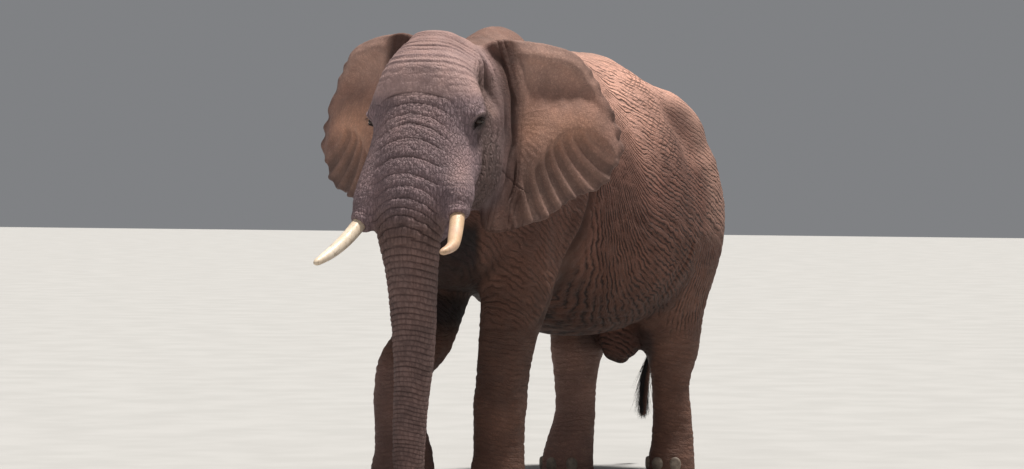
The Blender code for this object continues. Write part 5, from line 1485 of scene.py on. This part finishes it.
def hide_material():
    g = Graph("hide")
    here = g.node("ShaderNodeTexCoord").outputs["Object"]
    tone_ = g.attr("tone", "Color")
    crease_shade_ = g.attr("crease_shade")
    share_ = g.attr("flow_share")
    ear_ = g.attr("ear_share")
    ring = g.attr("ring_phase")
    ringw = g.attr("ring_share")
    # warped wrinkle space
    warp = g.scaled(g.noise(here, 9.0, 2.0, 0.5, "Color"), (0.55, 0.55, 0.55))
    flow_ = g.plus(g.attr("flow", "Vector"), warp)
    long_ = g.ramp(g.borders(flow_, 1.0, 0.62), 0.0, 0.19)
    fine_ = g.ramp(g.borders(flow_, 2.15, 0.85), 0.0, 0.20)
    off_ring = g.maths("SUBTRACT", 1.0, g.maths("MULTIPLY", g.attr("trunk_share"), 0.62))
    share_ = g.maths("MULTIPLY", share_, off_ring)
    net_warp = g.plus(here, g.scaled(g.noise(here, 30.0, 2.0, 0.5, "Color"), (0.012, 0.012, 0.012)))
    net = g.ramp(g.borders(net_warp, 62.0), 0.0, 0.16)
    tiny = g.ramp(g.borders(net_warp, 150.0), 0.0, 0.22)
    grain = g.noise(here, 260.0, 2.0, 0.6)
    # long wrinkles: wandering, forking grooves of uneven strength
    drift = g.maths("ADD", g.maths("MULTIPLY", g.noise(here, 6.0, 2.0), 2.0), g.maths("MULTIPLY", g.noise(here, 21.0, 2.0), 0.95))
    uneven = g.ramp(g.noise(here, 11.0, 3.0, 0.6), 0.34, 0.56, 0.25, 1.0)
    grooves = []
    for k in "ab":
        t = g.maths("ADD", g.attr("line_" + k), drift)
        sh = g.attr("line_share_" + k)
        for rate, shift_, wide_, strong in ((1.0, 0.0, 0.36, 1.0), (1.87, 0.31, 0.26, 0.34)):
            tt = g.maths("ADD", g.maths("MULTIPLY", t, rate), shift_)
            q = g.maths("ABSOLUTE", g.maths("SUBTRACT", g.maths("FRACT", tt), 0.5))
            q = g.maths("SUBTRACT", 0.5, q)                      # 0 at the groove, half way between grooves 0.5
            s_ = g.maths("MULTIPLY", g.maths("MULTIPLY", g.ramp(q, wide_, 0.0), sh), strong)
            grooves.append(g.maths("MULTIPLY", s_, uneven) if rate == 1.0 else s_)
    groove = grooves[0]
    for s_ in grooves[1:]:
        groove = g.maths("MAXIMUM", groove, s_)
    # a sharp line at the foot of each ring
    off = g.maths("ABSOLUTE", g.maths("SUBTRACT", g.maths("FRACT", g.maths("ADD", ring, 0.5)), 0.5))
    line = g.maths("MULTIPLY", g.ramp(off, g.maths("ADD", 0.10, g.maths("MULTIPLY", g.attr("trunk_share"), 0.12)), 0.0), ringw)
    # finer rings between them on the face
    finer = g.maths("FRACT", g.maths("ADD", g.maths("MULTIPLY", ring, 3.0), g.maths("MULTIPLY", drift, 0.6)))
    finer = g.ramp(g.maths("ABSOLUTE", g.maths("SUBTRACT", finer, 0.5)), 0.28, 0.0)
    finer = g.maths("MULTIPLY", g.maths("MULTIPLY", finer, ringw), g.maths("MULTIPLY", g.maths("SUBTRACT", 1.0, g.attr("trunk_share")), uneven))
    # height in millimetres
    h = g.maths("MULTIPLY", g.maths("MULTIPLY", long_, share_), 4.2)
    h = g.maths("ADD", h, g.maths("MULTIPLY", g.maths("MULTIPLY", fine_, share_), 1.8))
    ear_less = g.maths("SUBTRACT", 1.0, g.maths("MAXIMUM", g.maths("MULTIPLY", ear_, 0.15), g.maths("MULTIPLY", g.attr("face"), 0.55)))
    h = g.maths("ADD", h, g.maths("MULTIPLY", g.maths("MULTIPLY", net, ear_less), 1.25))
    h = g.maths("ADD", h, g.maths("MULTIPLY", tiny, 0.40))
    h = g.maths("ADD", h, g.maths("MULTIPLY", grain, 0.35))
    h = g.maths("SUBTRACT", h, g.maths("MULTIPLY", line, 4.5))
    h = g.maths("SUBTRACT", h, g.maths("MULTIPLY", finer, 2.4))
    h = g.maths("SUBTRACT", h, g.maths("MULTIPLY", groove, 9.0))
    g.bump(h, 0.001)
    # colour: painted shade in the creases, dust on what stands proud, blotches and speckles
    c = tone_
    blotch = g.noise(here, 5.5, 4.0, 0.6)
    c = g.mix(g.ramp(blotch, 0.40, 0.72, 0.0, 0.38), c, g.mix(1.0, c, (1.42, 1.32, 1.26), "MULTIPLY"))
    c = g.mix(g.ramp(blotch, 0.55, 0.28, 0.0, 0.40), c, g.mix(1.0, c, (0.62, 0.60, 0.62), "MULTIPLY"))
    speck = g.noise(here, 85.0, 3.0, 0.65)
    calm = g.maths("SUBTRACT", 1.0, g.maths("MULTIPLY", g.attr("face"), 0.5))
    c = g.mix(g.maths("MULTIPLY", g.ramp(speck, 0.54, 0.72, 0.0, 0.34), calm), c, g.mix(1.0, c, (1.50, 1.42, 1.36), "MULTIPLY"))
    c = g.mix(g.maths("MULTIPLY", g.ramp(speck, 0.46, 0.28, 0.0, 0.34), calm), c, g.mix(1.0, c, (0.52, 0.50, 0.50), "MULTIPLY"))
    # dust caught on the ridges between grooves
    ridge = g.maths("MULTIPLY", g.maths("MAXIMUM", g.attr("line_share_a"), g.attr("line_share_b")), g.maths("SUBTRACT", 1.0, groove))
    c = g.mix(g.maths("MULTIPLY", ridge, 0.90), c, g.mix(1.0, c, (1.95, 1.80, 1.74), "MULTIPLY"))
    c = g.mix(g.maths("MULTIPLY", g.maths("MULTIPLY", long_, share_), 0.30), c, g.mix(1.0, c, (1.35, 1.33, 1.34), "MULTIPLY"))
    # painted shade: the colour is darkened in creases, wrinkle grooves, cell borders and the lines at the foot of the
    # rings
    dark = g.mix(1.0, c, (0.24, 0.205, 0.195), "MULTIPLY")
    deep = g.maths("MULTIPLY", crease_shade_, 0.78)
    deep = g.maths("MAXIMUM", deep, g.maths("MULTIPLY", g.maths("MULTIPLY", g.maths("SUBTRACT", 1.0, long_), share_), 0.52))
    deep = g.maths("MAXIMUM", deep, g.maths("MULTIPLY", g.maths("MULTIPLY", g.maths("SUBTRACT", 1.0, fine_), share_), 0.30))
    deep = g.maths("MAXIMUM", deep, g.maths("MULTIPLY", g.maths("MULTIPLY", g.maths("SUBTRACT", 1.0, net), ear_less), 0.42))
    deep = g.maths("MAXIMUM", deep, g.maths("MULTIPLY", line, 0.85))
    deep = g.maths("MAXIMUM", deep, g.maths("MULTIPLY", finer, 0.55))
    deep = g.maths("MAXIMUM", deep, g.maths("MULTIPLY", groove, 0.93))
    c = g.mix(g.maths("MINIMUM", deep, 0.9), c, dark)
    g.put(g.shader.inputs["Base Color"], c)
    rough = g.ramp(g.noise(here, 14.0, 3.0), 0.3, 0.7, 0.66, 0.86)
    rough = g.maths("SUBTRACT", rough, g.maths("MULTIPLY", g.attr("damp"), 0.30))
    g.put(g.shader.inputs["Roughness"], rough)
    g.shader.inputs["Specular IOR Level"].default_value = 0.32
    return g.mat


skin.data.materials.append(hide_material())

# ---------------------------------------------------------------- tusks
def tusk_piece(s):
    name = "ivory_left" if s > 0 else "ivory_right"
    rings, sides = 90, 40
    runs = np.r_[np.linspace(-0.12, 0.52, 66), 0.52 + (TUSK_OUT - 0.52) * np.linspace(0, 1, 25)[1:] ** 0.6]
    V, along, around = [], [], []
    for run in runs:
        c, d, r = tusk_at(s, run)
        a = unit(np.cross(d, (0, 0, 1)))
        b = np.cross(d, a)
        for k in range(sides):
            w = 2 * math.pi * k / sides
            # slightly oval, with faint long flutes and a worn, flattened side near the tip
            rr = r * (1 + 0.025 * math.cos(2 * w) + 0.006 * math.sin(5 * w + 3 * run) + 0.004 * math.sin(11 * w))
            rr *= 1 - 0.10 * smoothstep(0.42, 0.60, run) * max(math.cos(w - 0.7), 0) ** 2
            V.append(c + rr * (math.cos(w) * a + math.sin(w) * b))
            along.append(run)
            around.append(w)
    n = len(runs)
    quads = [(i * sides + k, i * sides + (k + 1) % sides, (i + 1) * sides + (k + 1) % sides, (i + 1) * sides + k) for i in range(n - 1) for k in range(sides)]
    c1, d1, _ = tusk_at(s, TUSK_OUT)
    c0, _, _ = tusk_at(s, -0.12)
    V += [c0, c1 + d1 * 0.004]
    along += [-0.12, TUSK_OUT]
    around += [0, 0]
    a, b = len(V) - 2, len(V) - 1
    ends = [(a, (k + 1) % sides, k) for k in range(sides)] + [(b, (n - 1) * sides + k, (n - 1) * sides + (k + 1) % sides) for k in range(sides)]
    o = scene_mesh(name, np.array(V) + SHIFT, quads, ends)
    attribute(o, "along", "FLOAT", along)
    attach(o, "root")
    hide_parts("tusk_left" if s > 0 else "tusk_right")
    return o


def ivory_material(name, worn):
    g = Graph(name)
    here = g.node("ShaderNodeTexCoord").outputs["Object"]
    run = g.attr("along")
    if worn:
        c = g.mix(g.ramp(g.noise(here, 7.0, 3.0), 0.35, 0.7), (0.52, 0.33, 0.225), (0.64, 0.43, 0.32))
    else:
        c = g.mix(g.ramp(g.noise(here, 7.0, 3.0), 0.35, 0.7), (0.68, 0.56, 0.43), (0.80, 0.70, 0.58))
    c = g.mix(g.ramp(g.noise(here, 9.0, 4.0, 0.65), 0.38, 0.62, 0.0, worn), c, (0.60, 0.42, 0.24))
    stain = g.ramp(g.maths("ADD", run, g.maths("MULTIPLY", g.noise(here, 16.0, 4.0), 0.20)), 0.30, 0.06)
    c = g.mix(g.maths("MULTIPLY", stain, 0.75), c, (0.52, 0.36, 0.21))
    blot = g.ramp(g.noise(here, 22.0, 5.0, 0.65), 0.56, 0.70)
    c = g.mix(g.maths("MULTIPLY", blot, 0.45), c, (0.46, 0.31, 0.18))
    streak = g.ramp(g.noise(g.scaled(here, (1.0, 1.0, 0.25)), 120.0, 3.0, 0.6), 0.55, 0.68)
    c = g.mix(g.maths("MULTIPLY", streak, 0.30), c, (0.50, 0.37, 0.24))
    split = g.ramp(g.borders(g.scaled(here, (9.0, 9.0, 2.4)), 3.0), 0.03, 0.0)
    c = g.mix(g.maths("MULTIPLY", split, 0.5), c, (0.24, 0.16, 0.10))
    g.put(g.shader.inputs["Base Color"], c)
    g.put(g.shader.inputs["Roughness"], g.ramp(g.noise(here, 40.0, 3.0), 0.3, 0.7, 0.34, 0.56))
    g.shader.inputs["Subsurface Weight"].default_value = 0.0
    h = g.maths("SUBTRACT", g.maths("MULTIPLY", g.noise(here, 90.0, 4.0), 0.5), g.maths("MULTIPLY", split, 0.5))
    g.bump(h, 0.001)
    return g.mat


for s in (1, -1):
    tusk_piece(s).data.materials.append(ivory_material("ivory_left" if s > 0 else "ivory_right", 0.55 if s > 0 else 0.0))

# ---------------------------------------------------------------- eyes
def eye_material():
    g = Graph("eyeball")
    r = g.attr("polar")                     # angle from the pupil's middle, in radians
    side = g.attr("turn", "Vector")
    fibre = g.noise(g.scaled(side, (9.0, 9.0, 1.5)), 2.0, 3.0)
    iris = g.mix(g.ramp(r, 0.30, 0.56), (0.030, 0.015, 0.008), (0.011, 0.006, 0.004))
    iris = g.mix(g.maths("MULTIPLY", g.ramp(fibre, 0.4, 0.7), 0.5), iris, (0.046, 0.023, 0.011))
    c = g.mix(g.ramp(r, 0.22, 0.26), (0.003, 0.002, 0.002), iris)
    c = g.mix(g.ramp(r, 0.55, 0.62), c, (0.030, 0.016, 0.012))
    c = g.mix(g.ramp(r, 0.80, 1.15), c, (0.050, 0.032, 0.026))
    g.put(g.shader.inputs["Base Color"], c)
    g.shader.inputs["Roughness"].default_value = 0.10
    g.shader.inputs["Specular IOR Level"].default_value = 0.35
    g.shader.inputs["Coat Weight"].default_value = 0.15
    g.shader.inputs["Coat Roughness"].default_value = 0.05
    return g.mat


eye_look = eye_material()
for s in (1, -1):
    t_, v_, n_ = EYE_AXES[s]
    seg, rows = 64, 40
    P, polar, turn = [], [], []
    for j in range(1, rows):
        a = math.pi * j / rows
        for k in range(seg):
            w = 2 * math.pi * k / seg
            r = EYE_R * (1 + 0.035 * math.exp(-((a / 0.52) ** 4)))       # the cornea stands a little proud
            P.append(EYE_AT[s] + r * (math.cos(a) * n_ + math.sin(a) * (math.cos(w) * t_ + math.sin(w) * v_)))
            polar.append(a)
            turn.append((math.cos(w), math.sin(w), a))
    P += [EYE_AT[s] + EYE_R * 1.035 * n_, EYE_AT[s] - EYE_R * n_]
    polar += [0.0, math.pi]
    turn += [(0, 0, 0), (0, 0, 3)]
    m = rows - 1
    quads = [(j * seg + k, j * seg + (k + 1) % seg, (j + 1) * seg + (k + 1) % seg, (j + 1) * seg + k) for j in range(m - 1) for k in range(seg)]
    caps = [(len(P) - 2, (k + 1) % seg, k) for k in range(seg)] + [(len(P) - 1, (m - 1) * seg + k, (m - 1) * seg + (k + 1) % seg) for k in range(seg)]
    flip = np.dot(np.cross(t_, v_), n_) < 0
    if not flip:
        quads = [q[::-1] for q in quads]
        caps = [q[::-1] for q in caps]
    o = scene_mesh("eyeball_left" if s > 0 else "eyeball_right", np.array(P) + SHIFT, quads, caps)
    attribute(o, "polar", "FLOAT", polar)
    attribute(o, "turn", "FLOAT_VECTOR", turn)
    o.data.materials.append(eye_look)
    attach(o, "root")
    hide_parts("eye_left" if s > 0 else "eye_right")

# ---------------------------------------------------------------- toe nails
def nail_material():
    g = Graph("nail")
    here = g.node("ShaderNodeTexCoord").outputs["Object"]
    c = g.mix(g.ramp(g.noise(here, 18.0, 4.0), 0.35, 0.7), (0.13, 0.098, 0.075), (0.25, 0.20, 0.155))
    c = g.mix(g.ramp(g.noise(here, 60.0, 3.0), 0.52, 0.7, 0.0, 0.6), c, (0.13, 0.085, 0.06))
    g.put(g.shader.inputs["Base Color"], c)
    g.put(g.shader.inputs["Roughness"], g.ramp(g.noise(here, 30.0, 2.0), 0.3, 0.7, 0.5, 0.75))
    lines = g.noise(g.scaled(here, (1.0, 1.0, 0.12)), 150.0, 2.0)
    g.bump(g.maths("ADD", g.maths("MULTIPLY", lines, 0.9), g.maths("MULTIPLY", g.noise(here, 90.0, 3.0), 0.6)), 0.001)
    return g.mat


def nail_pieces():
    V, F = [], []
    for c, d, w, h in nails_of():
        side = np.cross((0, 0, 1), d)
        rows, seg = 14, 36
        start = len(V)
        for j in range(rows + 1):
            for k in range(seg):
                a = 2 * math.pi * k / seg
                if j <= rows - 4:
                    q = j / (rows - 4)
                    out = 0.018 * (1 - q**5) ** 0.5 + 0.004
                else:
                    q = 1.0
                    out = 0.004 - 0.010 * (j - rows + 4)
                px, pz = w * q * math.cos(a), h * q * math.sin(a)
                px *= 1 + 0.10 * (pz < 0) * (-pz / h)
                p = c + side * px + d * (out - 9.0 * px * px * 0.35 - 0.004) + np.array((0, 0, pz))
                p[2] = max(p[2], 0.0025)
                V.append(p)
        for j in range(rows):
            for k in range(seg):
                F.append((start + j * seg + k, start + j * seg + (k + 1) % seg, start + (j + 1) * seg + (k + 1) % seg, start + (j + 1) * seg + k))
    return np.array(V), F


NV, NQ = nail_pieces()
nails = scene_mesh("nails", NV + SHIFT, [q[::-1] for q in NQ])
nails.data.materials.append(nail_material())
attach(nails, "root")

# ---------------------------------------------------------------- hair
def dice1(k, seed):
    k = np.asarray(k)
    return dice(k, k * 0 + 5, k * 0 + 9, seed)


def strands(roots, ways, lengths, droop, width, bend, seed, steps=7, spots=None):
    """Tapered three-sided hairs. roots, ways: (n,3); droop pulls each toward the ground; returns points, faces, patch places."""
    V, F, UV = [], [], []
    for k in range(len(roots)):
        p, d = np.array(roots[k], float), unit(ways[k])
        L, w = lengths[k], width * (0.75 + 0.5 * dice1([k], seed)[0])
        b = (dice1([k], seed + 1)[0] - 0.5) * 2 * bend
        c = (dice1([k], seed + 2)[0] - 0.5) * 2 * bend
        side = unit(np.cross(d, (0.31, 0.77, 0.55)))
        base = len(V)
        for j in range(steps + 1):
            t = j / steps
            u = unit(np.cross(side, d))
            r = w * (1 - t) ** 0.7 if j < steps else 0.0
            if j < steps:
                for q in range(3):
                    a = 2 * math.pi * q / 3
                    V.append(p + r * (math.cos(a) * side + math.sin(a) * u))
            else:
                V.append(p)
            d = unit(d + side * b / steps + u * c / steps + np.array((0, 0, -droop / steps)))
            p = p + d * L / steps
        for j in range(steps - 1):
            for q in range(3):
                a0, a1 = base + j * 3 + q, base + j * 3 + (q + 1) % 3
                F.append((a0, a1, a1 + 3, a0 + 3))
                UV.append(k)
        tip = base + steps * 3
        for q in range(3):
            F.append((base + (steps - 1) * 3 + q, base + (steps - 1) * 3 + (q + 1) % 3, tip))
            UV.append(k)
    return np.array(V), F, UV


def coat_piece(name, V, F, spots, owner, look):
    quads = [f for f in F if len(f) == 4]
    tris = [f for f in F if len(f) == 3]
    o_q = [w for f, w in zip(F, owner) if len(f) == 4]
    o_t = [w for f, w in zip(F, owner) if len(f) == 3]
    o = scene_mesh(name, V + SHIFT, quads, tris)
    uv = o.data.uv_layers.new(name="OFBake")
    own = np.array(o_q + o_t)
    base = np.asarray(spots)[own]
    shape4 = np.array(((0, 0), (1, 0), (1, 1), (0, 1))) * 0.003
    shape3 = np.array(((0, 0), (1, 0), (0.5, 1))) * 0.003
    flat = np.concatenate([(base[:len(quads), None] + shape4[None]).reshape(-1, 2), (base[len(quads):, None] + shape3[None]).reshape(-1, 2)])
    uv.data.foreach_set("uv", flat.astype(np.float32).ravel())
    o.data.materials.append(look)
    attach(o, "root")
    return o


def hair_material(name, dark, light, rough):
    g = Graph(name)
    here = g.node("ShaderNodeTexCoord").outputs["Object"]
    c = g.mix(g.ramp(g.noise(here, 45.0, 3.0), 0.35, 0.7), dark, light)
    g.put(g.shader.inputs["Base Color"], c)
    g.shader.inputs["Roughness"].default_value = rough
    return g.mat


black_hair = hair_material("tail_hair", (0.006, 0.005, 0.005), (0.028, 0.022, 0.020), 0.38)
TAIL = tail_parts()[0]


def tail_hair():
    count = 620
    k = np.arange(count)
    t = dice1(k, 301)
    total = TAIL.s[-1]
    start = total - 0.50
    at = start + 0.49 * t**0.8
    j = np.clip(np.searchsorted(TAIL.s, at), 1, len(TAIL.s) - 1)
    ang = 2 * math.pi * dice1(k, 302)
    # most hairs stand in two rows, on the front and rear edges of the tail's end
    ang = np.where(dice1(k, 303) < 0.7, np.where(dice1(k, 304) < 0.5, 0.5 * math.pi, 1.5 * math.pi) + (ang - math.pi) * 0.18, ang)
    C, X, Y, T = TAIL.C[j], TAIL.X[j], TAIL.Y[j], TAIL.T[j]
    R = np.minimum(TAIL.R[j].min(axis=1), 0.022)[:, None] * 0.75
    out = np.cos(ang)[:, None] * X + np.sin(ang)[:, None] * Y
    roots = C + out * R
    ways = T * 1.0 + out * (0.16 + 0.16 * dice1(k, 305))[:, None]
    left = total - at
    L = np.minimum(0.10 + 0.22 * dice1(k, 306), left + 0.035 * dice1(k, 307))
    L = np.maximum(L, 0.05)
    spots = np.stack([0.02 + 0.95 * (ang % (2 * math.pi)) / (2 * math.pi), 0.02 + 0.95 * (at - start) / (total - start)], axis=1)
    V, F, own = strands(roots, ways, L, 0.45, 0.0013, 0.22, 310)
    return coat_piece("tail_hairs", V, F, spots, own, black_hair)


tail_hairs = tail_hair()
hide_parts("tail_tuft")


def lashes():
    R, W, L, S = [], [], [], []
    for s in (1, -1):
        t_, v_, n_ = EYE_AXES[s]
        for upper, count, length in ((True, 46, 0.040), (False, 22, 0.018)):
            for k in range(count):
                f = (k + 0.5) / count * 2 - 1
                a = LID_L * 0.96 * f
                q = min(abs(a) / LID_L, 1)
                b = LID_UP * (1 - q**1.8) ** 0.8 + 0.0016 if upper else -LID_LOW * (1 - q**2.2) ** 0.9 - 0.0014
                rr2 = a * a + b * b
                c = math.sqrt(max((EYE_R + 0.0045) ** 2 - rr2, 0))
                R.append(EYE_AT[s] + a * t_ + b * v_ + (c - 0.001) * n_)
                W.append(n_ * 1.0 + v_ * (-0.10 if upper else -0.7) + t_ * (0.35 * f - 0.15))
                L.append(length * (0.75 + 0.4 * dice1([k], 320 + s)[0]) * (1 - 0.35 * f * f))
                S.append((0.25 + 0.25 * s + 0.2 * f, 0.7 if upper else 0.3))
    V, F, own = strands(R, W, L, 0.75, 0.00042, 0.18, 330, steps=6)
    return coat_piece("lashes", V, F, S, own, black_hair)


lashes()

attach(skin, "root")
GONE = {"tusk_left", "tusk_right", "eye_left", "eye_right", "tail_tuft"}
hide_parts(*[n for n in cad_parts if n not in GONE])

# ---------------------------------------------------------------- floor, light and camera
def stage():
    me = bpy.data.meshes.new("floor")
    r = 90.0
    me.from_pydata([(-r, -r, 0), (r, -r, 0), (r, r, 0), (-r, r, 0)], [], [(0, 1, 2, 3)])
    o = bpy.data.objects.new("floor", me)
    bpy.context.scene.collection.objects.link(o)
    g = Graph("floor")
    here = g.node("ShaderNodeTexCoord").outputs["Object"]
    c = g.mix(g.ramp(g.noise(here, 1.5, 2.0), 0.3, 0.7), (0.37, 0.365, 0.36), (0.40, 0.395, 0.39))
    g.put(g.shader.inputs["Base Color"], c)
    g.shader.inputs["Roughness"].default_value = 0.9
    g.shader.inputs["Specular IOR Level"].default_value = 0.1
    me.materials.append(g.mat)


stage()
RIGHT = np.array((math.cos(math.radians(35)), math.sin(math.radians(35)), 0.0))    # picture right
AWAY = np.array((-math.sin(math.radians(35)), math.cos(math.radians(35)), 0.0))   # away from the camera


def aim(o, way):
    o.rotation_euler = Vector(way).to_track_quat("-Z", "Y").to_euler()


def lamp(name, kind, energy, way, place=None, size=None, colour=(1, 1, 1)):
    L = bpy.data.lights.new(name, kind)
    L.energy, L.color = energy, colour
    if kind == "SUN":
        L.angle = size
    else:
        L.shape, L.size = "DISK", size
    o = bpy.data.objects.new(name, L)
    bpy.context.scene.collection.objects.link(o)
    if place is not None:
        o.location = place
    aim(o, way)


lamp("key", "SUN", 5.8, -(RIGHT * 0.24 + AWAY * 0.10 + HEAD_U * 0.95), size=math.radians(8), colour=(1.0, 0.965, 0.90))
lamp("fill", "SUN", 0.32, -(RIGHT * -0.35 - AWAY * 0.85 + HEAD_U * 0.55), size=math.radians(50), colour=(1.0, 0.97, 0.94))

world = bpy.data.worlds.new("studio")
bpy.context.scene.world = world
world.use_nodes = True
world.node_tree.nodes["Background"].inputs["Color"].default_value = (0.86, 0.88, 0.92, 1)
world.node_tree.nodes["Background"].inputs["Strength"].default_value = 0.25

cam = bpy.data.cameras.new("camera")
cam.lens, cam.sensor_width = 144.7, 36.0
cam.clip_start, cam.clip_end = 0.1, 400
eye = bpy.data.objects.new("camera", cam)
bpy.context.scene.collection.objects.link(eye)
eye.location = np.array((16.306, -22.764, 2.17)) + SHIFT
down = math.radians(0.926)
aim(eye, AWAY * math.cos(down) - HEAD_U * math.sin(down))
bpy.context.scene.camera = eye
bpy.context.scene.view_settings.view_transform = "Standard"
